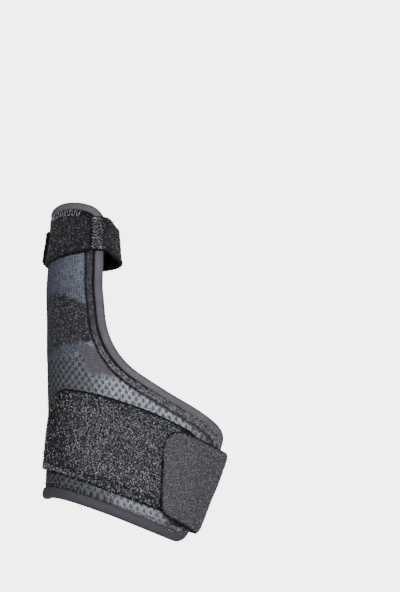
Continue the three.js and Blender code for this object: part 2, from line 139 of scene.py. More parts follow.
def surface(reach, level):
    """Points of the form. A reach of 0 is the thumb side, 1 the far side, and below 0 the palm."""
    u = np.asarray(reach, float) % 2 * STEPS_ROUND / 2
    v = (np.asarray(level, float) - LEVELS[0]) / (LEVELS[1] - LEVELS[0])
    i = np.floor(u).astype(int)
    j = np.clip(np.floor(v).astype(int), 1, len(LEVELS) - 3)
    total = 0
    for a, weight_u in enumerate(cubic_weights(u - i)):
        for b, weight_v in enumerate(cubic_weights(v - j)):
            total = total + (weight_u * weight_v)[..., None] * FORM[j + b - 1, (i + a - 1) % STEPS_ROUND]
    return total


def unit(vectors):
    return vectors / np.linalg.norm(vectors, axis=-1, keepdims=True)


def tangents(reach, level, probe=2e-3):
    """The surface's directions per unit of reach and of level, and its outward normal."""
    around = (surface(reach + probe, level) - surface(reach - probe, level)) / (2 * probe)
    up = (surface(reach, level + probe) - surface(reach, level - probe)) / (2 * probe)
    return around, up, unit(np.cross(around, up))


def lifted(reach, level, lift):
    return surface(reach, level) + tangents(reach, level)[2] * np.asarray(lift, float)[..., None]


def dot(a, b):
    return (a * b).sum(-1)


def walk(reach, level, direction, distance):
    """The places reached by going a distance along the surface in a direction."""
    for _ in range(3):
        around, up, _ = tangents(reach, level)
        rr, ru, uu = dot(around, around), dot(around, up), dot(up, up)
        dr, du = dot(around, direction), dot(up, direction)
        scale = distance / 3 / (rr * uu - ru * ru)
        reach = reach + scale * (uu * dr - ru * du)
        level = level + scale * (rr * du - ru * dr)
    return reach, level


def inset(loop, distance):
    """A loop of places moved in by a distance. It runs anticlockwise as seen from outside."""
    reach, level = loop
    points = surface(reach, level)
    forward = np.roll(points, -1, 0) - np.roll(points, 1, 0)
    inwards = unit(np.cross(tangents(reach, level)[2], forward))
    return walk(reach, level, inwards, distance)


def smooth_step(x, low, high):
    t = np.clip((x - low) / (high - low), 0, 1)
    return t * t * (3 - 2 * t)


def drawn_back(distance, radius):
    """How far a round corner has drawn back at a distance from its end."""
    left = radius - np.clip(distance, 0, radius)
    return radius - np.sqrt(radius * radius - left * left)


def crown(reach):
    return along(RIM_CROWN, "reach", "rise", np.abs(reach)) / RADIAL_HEIGHT


def spaced(loop, spacing):
    """A closed loop of places at even distances along it."""
    reach, level = (np.append(part, part[0]) for part in loop)
    steps = np.linalg.norm(np.diff(surface(reach, level), axis=0), axis=1)
    length = np.concatenate([[0], np.cumsum(steps)])
    at = np.linspace(0, length[-1], int(length[-1] / spacing) + 1)[:-1]
    return np.interp(at, length, reach), np.interp(at, length, level)


def wrap_outline(spacing):
    bend = 1 - np.cos(np.linspace(0, np.pi / 2, 12))
    low, top = bend * LOW_CORNER / RADIAL_HEIGHT, 1 - bend[::-1] * TOP_CORNER / RADIAL_HEIGHT
    level = np.concatenate([low, np.linspace(low[-1], top[0], 300)[1:-1], top])
    back = drawn_back(level * RADIAL_HEIGHT, LOW_CORNER) + drawn_back((1 - level) * RADIAL_HEIGHT, TOP_CORNER)
    dorsal = along(WRAP_SIDES, "level", "dorsal", level) - back / half(level)
    palmar = along(WRAP_SIDES, "level", "palmar", level) - back / half(level)
    rim = np.linspace(dorsal[-1], -palmar[-1], 120)[1:-1]
    hem = np.linspace(-palmar[0], dorsal[0], 200)[1:-1]
    reach = np.concatenate([hem, dorsal, rim, -palmar[::-1]])
    nominal = np.concatenate([np.zeros_like(hem), level, np.ones_like(rim), level[::-1]])
    risen = nominal + smooth_step(nominal, CROWN_FROM, 1) * crown(reach)
    hem_rise = along(HEM_RISE, "reach", "rise", np.abs(reach))
    risen += (1 - smooth_step(nominal, 0, HEM_TO)) * hem_rise / RADIAL_HEIGHT
    return spaced((reach, risen), spacing)


OUTLINE_STEP = 0.7
OUTLINE = wrap_outline(OUTLINE_STEP)


def within(u, v, edge_u, edge_v):
    """Whether flat points lie within a closed outline."""
    inside = np.zeros(u.shape, bool)
    next_u, next_v = np.roll(edge_u, -1), np.roll(edge_v, -1)
    for a, b, c, d in zip(edge_u, edge_v, next_u, next_v):
        if b != d:
            inside ^= ((b > v) != (d > v)) & (u < (c - a) * (v - b) / (d - b) + a)
    return inside


def beside(points, path):
    """How far points lie from a closed path, and how far along the path they lie."""
    forward = unit(np.roll(path, -1, 0) - np.roll(path, 1, 0))
    length = np.concatenate([[0], np.cumsum(np.linalg.norm(np.diff(path, axis=0), axis=1))])
    gaps, runs = [], []
    for part in np.array_split(points, max(len(points) // 2000, 1)):
        apart = ((part[:, None] - path[None]) ** 2).sum(-1)
        nearest = apart.argmin(1)
        gaps.append(np.sqrt(apart.min(1)))
        runs.append(length[nearest] + dot(part - path[nearest], forward[nearest]))
    return np.concatenate(gaps), np.concatenate(runs)


def quads(shape):
    """The four-sided faces of a grid of points, row by row."""
    number = np.arange(shape[0] * shape[1]).reshape(shape)
    return np.stack([number[:-1, :-1], number[:-1, 1:], number[1:, 1:], number[1:, :-1]], -1).reshape(-1, 4)


def make_piece(name, points, faces, flat=None, edges=(), **values):
    """A mesh object from points in millimetres. flat gives each point's place in the flat fabric,
    in millimetres, and values are numbers that each point carries to its material."""
    mesh = bpy.data.meshes.new(name)
    mesh.from_pydata((points * MM).tolist(), list(edges), faces.tolist())
    if len(faces):
        corner = np.empty(len(mesh.loops), np.int32)
        mesh.loops.foreach_get("vertex_index", corner)
        mesh.polygons.foreach_set("use_smooth", [True] * len(mesh.polygons))
        if flat is not None:
            layer = mesh.uv_layers.new(name="fabric")
            layer.data.foreach_set("uv", (flat * MM)[corner].astype(np.float32).ravel())
    for key, value in values.items():
        mesh.attributes.new(key, "FLOAT", "POINT").data.foreach_set("value", value.astype(np.float32))
    mesh.update()
    piece = bpy.data.objects.new(name, mesh)
    bpy.context.scene.collection.objects.link(piece)
    return piece


# The net has a hole every 3 mm across and a row of holes every 1.9 mm, each row shifted by half.
# Lines of the fabric's grid run through every hole's middle and past both its sides.
HOLE_PITCH, HOLE_ROW, HOLE_DEPTH = 3.0, 1.9, 0.8
HOLE_HALF_WIDE, HOLE_HALF_HIGH = 0.5, 0.6
FABRIC_ACROSS, FABRIC_UP = (-78, 92), (0, 128)   # what the grid spans, from the thumb side's line
HIDDEN_EDGE = 2.0                 # the knit ends this far inside the binding's fold
BAND_TO = 7.0                     # the needle line of the coverstitch beside the binding
NEEDLE_STEP = 2.2
HEM_RUN = 123                     # the hem's length, where there is a plain row of stitches instead
# The stitches counted along the border. They are longest in the hem's last third.
HEM_STEPS = {"run": [0, 84, HEM_RUN, HEM_RUN + 500], "stitch": [0, 52, 65, 65 + 500 / NEEDLE_STEP]}


def grid_lines(pitch, side, span):
    middles = np.arange(np.floor(span[0] / pitch), np.ceil(span[1] / pitch) + 1) * pitch
    return (middles[:, None] + np.array([-side, 0, side])).ravel()


across_lines = grid_lines(HOLE_PITCH / 2, HOLE_HALF_WIDE, FABRIC_ACROSS)
up_lines = grid_lines(HOLE_ROW, HOLE_HALF_HIGH, FABRIC_UP)
flat_u, flat_v = np.meshgrid(across_lines, up_lines)
knit_level = flat_v / RADIAL_HEIGHT
knit_reach = flat_u / half(knit_level)
outline_points = surface(*OUTLINE)
inside = within(flat_u, flat_v, OUTLINE[0] * half(OUTLINE[1]), OUTLINE[1] * RADIAL_HEIGHT)
from_edge, run = np.zeros_like(flat_u), np.zeros_like(flat_u)
from_edge[inside], run[inside] = beside(surface(knit_reach[inside], knit_level[inside]), outline_points)
hem = (run < HEM_RUN).astype(float)
stitch = np.interp(run, HEM_STEPS["run"], HEM_STEPS["stitch"])
kept = inside & (from_edge > HIDDEN_EDGE)

# The jacquard's zones, as curves of their level along the reach.
DARK_TOP = {
    "reach": [-0.55, -0.30, -0.10, 0.05, 0.15, 0.24, 0.32, 0.40],
    "level": [0.700, 0.735, 0.640, 0.675, 0.704, 0.699, 0.685, 0.660],
}
DARK_LOW = {
    "reach": [-0.55, -0.35, -0.15, 0.05, 0.13, 0.19, 0.25, 0.36],
    "level": [0.590, 0.520, 0.545, 0.492, 0.508, 0.533, 0.538, 0.556],
}
NET_TOP = {
    "reach": [-0.55, -0.35, -0.15, 0.03, 0.10, 0.18, 0.28, 0.40],
    "level": [0.480, 0.440, 0.490, 0.472, 0.482, 0.497, 0.505, 0.510],
}


ZONE_BLEND = 0.004                # how softly one zone turns into the next, as a level


def below(table):
    edge = along(table, "reach", "level", knit_reach) + ripple
    return smooth_step(edge - knit_level, -ZONE_BLEND, ZONE_BLEND)


def zone(x, rise, fall):
    """1 between a rise and a fall, each given by where it starts and ends, and 0 outside them."""
    return smooth_step(x, *rise) * (1 - smooth_step(x, *fall))


# Zone edges step from stitch to stitch.
stitch_u, stitch_v = np.round(flat_u / (HOLE_PITCH / 2)), np.round(flat_v / HOLE_ROW)
ripple = 0.003 * np.sin(stitch_u * 2.4 + 1.3 * stitch_v) + 0.002 * np.sin(stitch_u * 5.1)
dark = below(DARK_TOP) * (1 - below(DARK_LOW))
net = below(NET_TOP)
stepped = knit_level + ripple
rib = zone(knit_reach, (0.262, 0.292), (0.42, 0.44)) * zone(stepped, (0.436, 0.456), (0.522, 0.536))
pale_patch = smooth_step(knit_reach, 0.27, 0.30) * zone(stepped, (0.525, 0.534), (0.545, 0.558))
# The net is palest beyond the rib, and darker beside the hem and toward the far side.
near_hem = 1 - smooth_step(knit_level, 0.14, 0.24)
light = 0.12 + 0.30 * smooth_step(knit_reach, 0.04, 0.26)
light += 0.58 * smooth_step(knit_reach, 0.24, 0.42) * (1 - smooth_step(knit_level, 0.452, 0.475))
light *= 1 - 0.50 * (1 - smooth_step(knit_level, 0.06, 0.12)) * (
    1 - zone(knit_reach, (0.42, 0.52), (0.74, 0.80)))
light *= 1 - 0.55 * smooth_step(knit_reach, 0.68, 0.84)
light *= 1 - 0.18 * near_hem
# The fine knit is darker toward the thumb side, as painted shade where the wrap turns away from the light.
fine = 0.53 + 0.33 * smooth_step(knit_reach, 0.10, 0.46)
light = net * light + (1 - net) * np.maximum(fine, pale_patch)
band = (1 - hem) * (1 - smooth_step(from_edge, BAND_TO - 0.2, BAND_TO + 0.4))
holes = net * (1 - rib) * (1 - band)

# A hole is deepest at its middle and shallower at the eight crossings of lines around it.
i, j = np.indices(flat_u.shape)
middle = (j % 3 == 1) & (i % 3 == 1) & ((j // 3 + i // 3) % 2 == 0)
next_to = np.zeros_like(middle)
for shift, axis in ((1, 0), (-1, 0), (1, 1), (-1, 1)):
    next_to |= np.roll(middle, shift, axis)
cornerwise = np.roll(middle, (1, 1), (0, 1)) | np.roll(middle, (1, -1), (0, 1))
cornerwise |= np.roll(middle, (-1, 1), (0, 1)) | np.roll(middle, (-1, -1), (0, 1))
hole = holes * (middle + 0.9 * next_to + 0.55 * cornerwise) * (1 - 0.2 * near_hem)
# The needle thread is pulled less tight along the flap, and lies loose at its end.
slack = 0.45 * smooth_step(knit_reach, 0.46, 0.56) + 0.55 * smooth_step(knit_reach, 0.68, 0.80)
needle_line = np.exp(-((from_edge - BAND_TO) / 0.5) ** 2)
pulled_in = 0.75 + 0.25 * np.cos(2 * np.pi * stitch)
groove = (1 - 0.6 * slack) * needle_line * pulled_in * (1 - hem)
# The knit swells by its padding away from the stitches, and its part without net has a basket relief.
relief = 0.22 * smooth_step(from_edge - BAND_TO, 0, 5) - 0.5 * groove
relief = relief - 0.12 * band - HOLE_DEPTH * hole
relief += (1 - net) * (1 - rib) * (1 - band) * 0.10 * np.where((j // 2 + i // 2) % 2 == 0, 1, -1)

# The outer face, the lining behind it and the walls that close the two along the fabric's rim.
LINING_RIB = 0.04
cells = kept[:-1, :-1] & kept[:-1, 1:] & kept[1:, :-1] & kept[1:, 1:]
outer = quads(flat_u.shape)[cells.ravel()]
sides = np.concatenate([outer[:, [0, 1]], outer[:, [1, 2]], outer[:, [2, 3]], outer[:, [3, 0]]])
low_to_high = np.sort(sides, 1) @ np.array([flat_u.size, 1])
_, first, count = np.unique(low_to_high, return_index=True, return_counts=True)
rim_sides = sides[first[count == 1]]
used, renumbered = np.unique(outer, return_inverse=True)
outer = renumbered.reshape(outer.shape)
rim_sides = np.searchsorted(used, rim_sides)
total = len(used)
walls = np.stack([
    rim_sides[:, 0], rim_sides[:, 0] + total, rim_sides[:, 1] + total, rim_sides[:, 1],
], 1)
reach, level, raised = (grid.ravel()[used] for grid in (knit_reach, knit_level, relief))
lining_bump = LINING_RIB * np.cos(flat_u.ravel()[used] * 2 * np.pi / HOLE_PITCH)
body_points = np.concatenate([lifted(reach, level, BODY_WALL + raised), lifted(reach, level, lining_bump)])
body_flat = np.stack([flat_u.ravel()[used], flat_v.ravel()[used]], 1)


EDGE_SPAN = 12                    # the distance from the edge that the colours follow, as 0 to 1
# What each point carries to the knit's material. The lining is plain ribs all over.
carried_values = {
    "light": light, "dark": dark, "net": net, "hole": hole, "rib": rib, "band": band, "hem": hem,
    "edge": from_edge / EDGE_SPAN, "stitch": stitch, "slack": slack,
}
LINING_VALUES = {"rib": 1, "edge": 1}


def both(key):
    """A number for each point of the outer face, and one for the whole lining."""
    inner = np.full(total, float(LINING_VALUES.get(key, 0)))
    return np.concatenate([carried_values[key].ravel()[used], inner])


wrap = make_piece(
    "knitted_wrap",
    body_points,
    np.concatenate([outer, outer[:, ::-1] + total, walls]),
    np.concatenate([body_flat, body_flat]),
    **{key: both(key) for key in carried_values},
)


def paint(code):
    """A linear colour from an sRGB hex code."""
    parts = np.array([int(code[k:k + 2], 16) for k in (1, 3, 5)]) / 255
    linear = np.where(parts <= 0.04045, parts / 12.92, ((parts + 0.055) / 1.055) ** 2.4)
    return (*linear.tolist(), 1)


def add_node(tree, kind, links=None, stops=(), **settings):
    """Adds a node with its settings. links gives an input, by name or number, a value or a socket,
    and stops are the places and colours of a colour ramp."""
    node = tree.nodes.new(kind)
    for key, value in settings.items():
        setattr(node, key, value)
    for key, value in (links or {}).items():
        if isinstance(value, bpy.types.NodeSocket):
            tree.links.new(value, node.inputs[key])
        else:
            node.inputs[key].default_value = value
    for k, (place, code) in enumerate(stops):
        elements = node.color_ramp.elements
        element = elements[k] if k < 2 else elements.new(place)
        element.position = place
        element.color = paint(code)
    return node


def new_finish(name, roughness, sheen, sheen_tint):
    """A cloth material with its shader, ready for a colour and a bump."""
    material = bpy.data.materials.new(name)
    material.use_nodes = True
    tree = material.node_tree
    tree.nodes.clear()
    shader = add_node(tree, "ShaderNodeBsdfPrincipled", {
        "Roughness": roughness,
        "Sheen Weight": sheen,
        "Sheen Roughness": 0.5,
        "Sheen Tint": paint(sheen_tint),
        "Specular IOR Level": 0.25,
    })
    add_node(tree, "ShaderNodeOutputMaterial", {"Surface": shader.outputs[0]})
    return material, tree, shader


# What blends two colours, or darkens one by the other. The mix has its factor at input 0, its
# colours at inputs 6 and 7, and its result at output 2.
BLENDED = {"data_type": "RGBA"}
TIMES = {"data_type": "RGBA", "blend_type": "MULTIPLY"}

# Polyester jacquard knit: matte yarn in blue-grey, charcoal and grey. The fine knit shows rows of
# tiny dark dots, the charcoal has light flecks, and the net is painted darkest deep in its holes, as
# the shade within them. Its stitches are drawn a little coarser than real ones, so that they show.
STITCH_WIDE, STITCH_HIGH = 0.0011, 0.00085
knit, tree, shader = new_finish("polyester_jacquard_knit", 0.9, 0.08, "#aab4c4")
carried = {
    key: add_node(tree, "ShaderNodeAttribute", attribute_name=key).outputs["Fac"]
    for key in carried_values
}
fabric = add_node(tree, "ShaderNodeUVMap", uv_map="fabric").outputs["UV"]
courses = add_node(tree, "ShaderNodeVectorMath", {
    0: fabric, 1: (1 / STITCH_WIDE, 1 / STITCH_HIGH, 1),
}, operation="MULTIPLY").outputs[0]
dots = add_node(tree, "ShaderNodeTexVoronoi", {"Vector": courses, "Scale": 1.0, "Randomness": 0.45})
flecks = add_node(tree, "ShaderNodeTexVoronoi", {"Vector": courses, "Scale": 2.1, "Randomness": 0.9})
fine_yarn = add_node(tree, "ShaderNodeValToRGB", {"Fac": carried["light"]}, stops=[
    (0.1, "#373845"), (0.5, "#525463"), (0.8, "#666a77"), (1.0, "#7e8590"),
])
net_yarn = add_node(tree, "ShaderNodeValToRGB", {"Fac": carried["light"]}, stops=[
    (0.1, "#4f5155"), (0.4, "#6b6d72"), (1.0, "#b4bac2"),
])
yarn = add_node(tree, "ShaderNodeMix", {
    0: carried["net"], 6: fine_yarn.outputs[0], 7: net_yarn.outputs[0],
}, **BLENDED)
dotted = add_node(tree, "ShaderNodeValToRGB", {"Fac": dots.outputs["Distance"]}, stops=[
    (0.18, "#6e6e78"), (0.48, "#ffffff"),
])
yarn = add_node(tree, "ShaderNodeMix", {0: 0.9, 6: yarn.outputs[2], 7: dotted.outputs[0]}, **TIMES)
# The charcoal yarn, whose flecks differ from stitch to stitch.
chance = add_node(tree, "ShaderNodeSeparateColor", {0: flecks.outputs["Color"]})
charcoal = add_node(tree, "ShaderNodeValToRGB", {"Fac": chance.outputs[0]}, stops=[
    (0.0, "#28282c"), (0.45, "#37373b"), (0.75, "#4c4c51"), (0.95, "#79797e"),
])
rounded = add_node(tree, "ShaderNodeValToRGB", {"Fac": flecks.outputs["Distance"]}, stops=[
    (0.25, "#ffffff"), (0.6, "#88888e"),
])
charcoal = add_node(tree, "ShaderNodeMix", {0: 0.9, 6: charcoal.outputs[0], 7: rounded.outputs[0]}, **TIMES)
yarn = add_node(tree, "ShaderNodeMix", {0: 0.45, 6: yarn.outputs[2], 7: rounded.outputs[0]}, **TIMES)
colour = add_node(tree, "ShaderNodeMix", {
    0: carried["dark"], 6: yarn.outputs[2], 7: charcoal.outputs[2],
}, **BLENDED)
# The holes of the net, painted dark as the shade within them, whose edges fray by about 0.8 mm.
deep = add_node(tree, "ShaderNodeValToRGB", {"Fac": carried["light"]}, stops=[
    (0.1, "#17181b"), (0.9, "#565b64"),
])
frayed = add_node(tree, "ShaderNodeTexNoise", {"Vector": fabric, "Scale": 1300.0, "Detail": 2.0})
uneven = add_node(tree, "ShaderNodeMath", {
    0: frayed.outputs["Fac"], 1: 0.9, 2: -0.45,
}, operation="MULTIPLY_ADD")
uneven = add_node(tree, "ShaderNodeMath", {0: carried["hole"], 1: uneven.outputs[0]}, operation="ADD")
open_part = add_node(tree, "ShaderNodeValToRGB", {"Fac": uneven.outputs[0]}, stops=[
    (0.32, "#000000"), (0.7, "#ffffff"),
])
colour = add_node(tree, "ShaderNodeMix", {
    0: open_part.outputs[0], 6: colour.outputs[2], 7: deep.outputs[0],
}, **BLENDED)
# The ribbed square and the lining, at a scale that makes a rib every 1.1 mm.
ribs = add_node(tree, "ShaderNodeTexWave", {
    "Vector": fabric, "Scale": 286.0, "Distortion": 1.0, "Detail Scale": 2.0,
}, bands_direction="Y")
ribbed = add_node(tree, "ShaderNodeValToRGB", {"Fac": ribs.outputs["Fac"]}, stops=[
    (0.2, "#48474c"), (0.8, "#56555b"),
])
colour = add_node(tree, "ShaderNodeMix", {
    0: carried["rib"], 6: colour.outputs[2], 7: ribbed.outputs[0],
}, **BLENDED)
# The band that the coverstitch covers, dark grey, and painted near black as shade under the binding's edge.
band_with_binding_shade = add_node(tree, "ShaderNodeValToRGB", {"Fac": carried["edge"]}, stops=[
    (4.2 / EDGE_SPAN, "#111113"), (4.9 / EDGE_SPAN, "#343337"),
])
colour = add_node(tree, "ShaderNodeMix", {
    0: carried["band"], 6: colour.outputs[2], 7: band_with_binding_shade.outputs[0],
}, **BLENDED)
# The needle line of the coverstitch, and the short dark stitches above the hem.
between = add_node(tree, "ShaderNodeMath", {0: carried["stitch"], 1: 0.5}, operation="PINGPONG")
dash = add_node(tree, "ShaderNodeValToRGB", {"Fac": between.outputs[0]}, stops=[
    (0.18, "#ffffff"), (0.34, "#141414"),
])
broken = add_node(tree, "ShaderNodeMix", {
    0: carried["hem"], 6: paint("#e6e6e6"), 7: paint("#000000"),
}, **BLENDED)
dash = add_node(tree, "ShaderNodeMix", {0: 1.0, 6: dash.outputs[0], 7: broken.outputs[2]},
                data_type="RGBA", blend_type="LIGHTEN")
line = add_node(tree, "ShaderNodeValToRGB", {"Fac": carried["edge"]}, stops=[
    ((BAND_TO - 0.75) / EDGE_SPAN, "#000000"), ((BAND_TO - 0.4) / EDGE_SPAN, "#ffffff"),
    ((BAND_TO + 0.4) / EDGE_SPAN, "#ffffff"), ((BAND_TO + 0.8) / EDGE_SPAN, "#000000"),
])
tick = add_node(tree, "ShaderNodeValToRGB", {"Fac": carried["edge"]}, stops=[
    (4.4 / EDGE_SPAN, "#ffffff"), (5.6 / EDGE_SPAN, "#d0d0d0"), (7.0 / EDGE_SPAN, "#000000"),
])
row = add_node(tree, "ShaderNodeMix", {0: carried["hem"], 6: line.outputs[0], 7: tick.outputs[0]}, **BLENDED)
row = add_node(tree, "ShaderNodeMix", {0: 1.0, 6: row.outputs[2], 7: dash.outputs[2]}, **TIMES)
loose_end = add_node(tree, "ShaderNodeMapRange", {"Value": carried["slack"], "To Min": 1.0, "To Max": 0.3})
row = add_node(tree, "ShaderNodeMix", {0: 1.0, 6: row.outputs[2], 7: loose_end.outputs[0]}, **TIMES)
colour = add_node(tree, "ShaderNodeMix", {
    0: row.outputs[2], 6: colour.outputs[2], 7: paint("#0f0f12"),
}, **BLENDED)
# Wear, in patches of about 2.4 mm.
cloud = add_node(tree, "ShaderNodeTexNoise", {"Vector": fabric, "Scale": 420.0, "Detail": 3.0})
wear = add_node(tree, "ShaderNodeValToRGB", {"Fac": cloud.outputs["Fac"]}, stops=[
    (0.3, "#b8b8bc"), (0.7, "#ffffff"),
])
colour = add_node(tree, "ShaderNodeMix", {0: 0.5, 6: colour.outputs[2], 7: wear.outputs[0]}, **TIMES)
tree.links.new(colour.outputs[2], shader.inputs["Base Color"])
bump = add_node(tree, "ShaderNodeBump", {
    "Height": flecks.outputs["Distance"], "Strength": 0.6, "Distance": 0.0002,
}, invert=True)
tree.links.new(bump.outputs[0], shader.inputs["Normal"])
wrap.data.materials.append(knit)
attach(wrap, "root")
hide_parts("body_wrap")


# The binding is a folded strip of smooth elastic tape, grey with a lilac cast. It closes over the
# raw edge of the knit on both faces and is sewn down along its inner edges, where it puckers.
TAPE_STEP, PUCKER_PITCH, PUCKER_RISE = 0.6, 2.4, 0.07
# The tape's section, as how far in from the wrap's edge and how high over the form it lies.
BINDING_PROFILE = [
    (4.40, 2.83), (4.52, 3.10), (4.35, 3.42), (3.70, 3.76), (2.70, 3.92), (1.70, 3.88), (0.85, 3.54),
    (0.25, 2.88), (-0.05, 2.02), (-0.10, 1.20), (-0.05, 0.38), (0.25, -0.43), (0.85, -1.04),
    (1.70, -1.34), (3.00, -1.36), (4.20, -1.24), (4.50, -0.90), (4.40, -0.45),
    (3.00, -0.35), (1.00, -0.35), (1.00, 2.75), (3.00, 2.75),
]
binding_loop = wrap_outline(TAPE_STEP)
turns = len(binding_loop[0])
pucker = np.sin(np.arange(turns) * TAPE_STEP * 2 * np.pi / PUCKER_PITCH)
at_hem = 1 - smooth_step(binding_loop[1], 0.02, 0.12)
face = 0.79 + 0.21 * at_hem       # the tape shows less of its face away from the hem
pressed = 0.5 * np.exp(-(binding_loop[0] / 0.15) ** 2) * at_hem    # flatter at the hem's thumb side
rings, tape_flat = [], []
tape_width = 0
for k, (inwards, lift) in enumerate(BINDING_PROFILE):
    places = inset(binding_loop, inwards * face)
    sewn = smooth_step(inwards, 2.2, 4.3) if lift > 2.8 or lift < -0.4 else 0
    height = lift - pressed * smooth_step(lift, 2.75, 3.9) + PUCKER_RISE * pucker * sewn
    rings.append(lifted(*places, height))
    previous = BINDING_PROFILE[k - 1] if k else BINDING_PROFILE[0]
    tape_width += np.hypot(inwards - previous[0], lift - previous[1])
    tape_flat.append(np.stack([np.arange(turns) * TAPE_STEP, np.full(turns, tape_width)], 1))
ring = np.arange(turns)
faces = []
for k in range(len(BINDING_PROFILE)):
    a, b = k * turns, (k + 1) % len(BINDING_PROFILE) * turns
    following = np.roll(ring, -1)
    faces.append(np.stack([a + ring, b + ring, b + following, a + following], 1))
binding = make_piece(
    "folded_binding", np.concatenate(rings), np.concatenate(faces), np.concatenate(tape_flat),
    hem=np.tile(at_hem, len(BINDING_PROFILE)),
)

# Woven nylon tape: even, very fine ribs across it and a dull shine, without pile. The ribs are drawn
# 0.75 mm apart, so that they show, and the tape is painted darker along the hem, as shade where it faces
# down.
tape, tree, shader = new_finish("woven_nylon_tape", 0.7, 0.05, "#a0a0b0")
fabric = add_node(tree, "ShaderNodeUVMap", uv_map="fabric").outputs["UV"]
ribs = add_node(tree, "ShaderNodeTexWave", {
    "Vector": fabric, "Scale": 420.0, "Distortion": 1.5, "Detail": 2.0, "Detail Scale": 2.0,
}, bands_direction="X")
# The tape's tone changes in patches of about 6 mm.
cloud = add_node(tree, "ShaderNodeTexNoise", {"Vector": fabric, "Scale": 160.0, "Detail": 4.0})
weave = add_node(tree, "ShaderNodeValToRGB", {"Fac": cloud.outputs["Fac"]}, stops=[
    (0.3, "#4f4e53"), (0.7, "#5f5e65"),
])
shaded = add_node(tree, "ShaderNodeValToRGB", {"Fac": ribs.outputs["Fac"]}, stops=[
    (0, "#b4b4b8"), (1, "#ffffff"),
])
colour = add_node(tree, "ShaderNodeMix", {0: 0.35, 6: weave.outputs[0], 7: shaded.outputs[0]}, **TIMES)
# Painted shade: the tape darkens along the hem, where it faces down.
hem_shade = add_node(tree, "ShaderNodeAttribute", attribute_name="hem")
colour = add_node(tree, "ShaderNodeMix", {
    0: hem_shade.outputs["Fac"], 6: colour.outputs[2], 7: paint("#3b3a40"),
}, **BLENDED)
tree.links.new(colour.outputs[2], shader.inputs["Base Color"])
bump = add_node(tree, "ShaderNodeBump", {
    "Height": ribs.outputs["Fac"], "Strength": 0.25, "Distance": 0.0001,
})
tree.links.new(bump.outputs[0], shader.inputs["Normal"])
binding.data.materials.append(tape)


def start_tree(name, sizes):
    """A Geometry Nodes tree that takes a mesh, sizes by their names and a finish, and those inputs."""
    tree = bpy.data.node_groups.new(name, "GeometryNodeTree")
    sockets = {"Geometry": "Geometry", **{size: "Float" for size in sizes}, "Finish": "Material"}
    for label, kind in sockets.items():
        tree.interface.new_socket(label, in_out="INPUT", socket_type="NodeSocket" + kind)
    tree.interface.new_socket("Geometry", in_out="OUTPUT", socket_type="NodeSocketGeometry")
    return tree, add_node(tree, "NodeGroupInput").outputs


def end_tree(tree, geometry, finish):
    """Makes a tree's instances plain faces with their finish."""
    plain = add_node(tree, "GeometryNodeRealizeInstances", {"Geometry": geometry})
    finished = add_node(tree, "GeometryNodeSetMaterial", {"Geometry": plain.outputs[0], "Material": finish})
    add_node(tree, "NodeGroupOutput", {"Geometry": finished.outputs[0]})
    return tree


def thread_tree():
    """Geometry Nodes that turn a mesh of edges into sewn thread."""
    tree, given = start_tree("sewn_thread", ["Thread radius"])
    path = add_node(tree, "GeometryNodeMeshToCurve", {"Mesh": given["Geometry"]})
    round_section = add_node(tree, "GeometryNodeCurvePrimitiveCircle", {
        "Resolution": 5, "Radius": given["Thread radius"],
    })
    thread = add_node(tree, "GeometryNodeCurveToMesh", {
        "Curve": path.outputs[0], "Profile Curve": round_section.outputs[0], "Fill Caps": True,
    })
    return end_tree(tree, thread.outputs[0], given["Finish"])


def grown(name, base, tree, inputs):
    """What a tree makes of a base object, as a plain mesh that replaces the base."""
    modifier = base.modifiers.new("grow", "NODES")
    modifier.node_group = tree
    for item in tree.interface.items_tree:
        if item.in_out == "INPUT" and item.name in inputs:
            modifier[item.identifier] = inputs[item.name]
    bpy.context.view_layer.update()
    evaluated = base.evaluated_get(bpy.context.evaluated_depsgraph_get())
    mesh = bpy.data.meshes.new_from_object(evaluated)
    mesh.name = name
    bpy.data.objects.remove(base)
    piece = bpy.data.objects.new(name, mesh)
    bpy.context.scene.collection.objects.link(piece)
    return piece


SEWN_THREAD = thread_tree()


def sew(name, paths, radius, finish):
    """Thread along several paths of points in millimetres."""
    points, edges, start = [], [], 0
    for path, closed in paths:
        points.append(path)
        edges += [(start + k, start + k + 1) for k in range(len(path) - 1)]
        if closed:
            edges.append((start + len(path) - 1, start))
        start += len(path)
    base = make_piece("path", np.concatenate(points), np.zeros((0, 4), int), edges=edges)
    return grown(name, base, SEWN_THREAD, {"Thread radius": radius * MM, "Finish": finish})


def thread_finish(name, roughness, sheen, sheen_tint, fibre_scale, tones, by_thumb=None):
    """A thread's finish, mottled about every millimetre by its fibres. by_thumb is the colour that
    darkens it beside the thumb, where it lies in shade."""
    material, tree, shader = new_finish(name, roughness, sheen, sheen_tint)
    place = add_node(tree, "ShaderNodeTexCoord").outputs["Object"]
    fibres = add_node(tree, "ShaderNodeTexNoise", {"Vector": place, "Scale": fibre_scale, "Detail": 2.0})
    colour = add_node(tree, "ShaderNodeValToRGB", {"Fac": fibres.outputs["Fac"]}, stops=tones).outputs[0]
    if by_thumb:
        height = add_node(tree, "ShaderNodeSeparateXYZ", {0: place}).outputs["Z"]
        beside_thumb = add_node(tree, "ShaderNodeMapRange", {
            "Value": height, "From Min": 0.068, "From Max": 0.088, "To Min": 0.0, "To Max": 1.0,
        })
        tone = add_node(tree, "ShaderNodeMix", {
            0: beside_thumb.outputs[0], 6: paint("#ffffff"), 7: paint(by_thumb),
        }, **BLENDED)
        colour = add_node(tree, "ShaderNodeMix", {0: 1.0, 6: colour, 7: tone.outputs[2]}, **TIMES).outputs[2]
    tree.links.new(colour, shader.inputs["Base Color"])
    return material


# Textured polyester thread: dull, crimped and uneven, from light grey to charcoal in its turns.
thread = thread_finish("textured_polyester_thread", 0.8, 0.1, "#c8c4cc", 900.0, [
    (0.32, "#3a393e"), (0.52, "#656469"), (0.7, "#929196"),
], by_thumb="#b0b0b4")

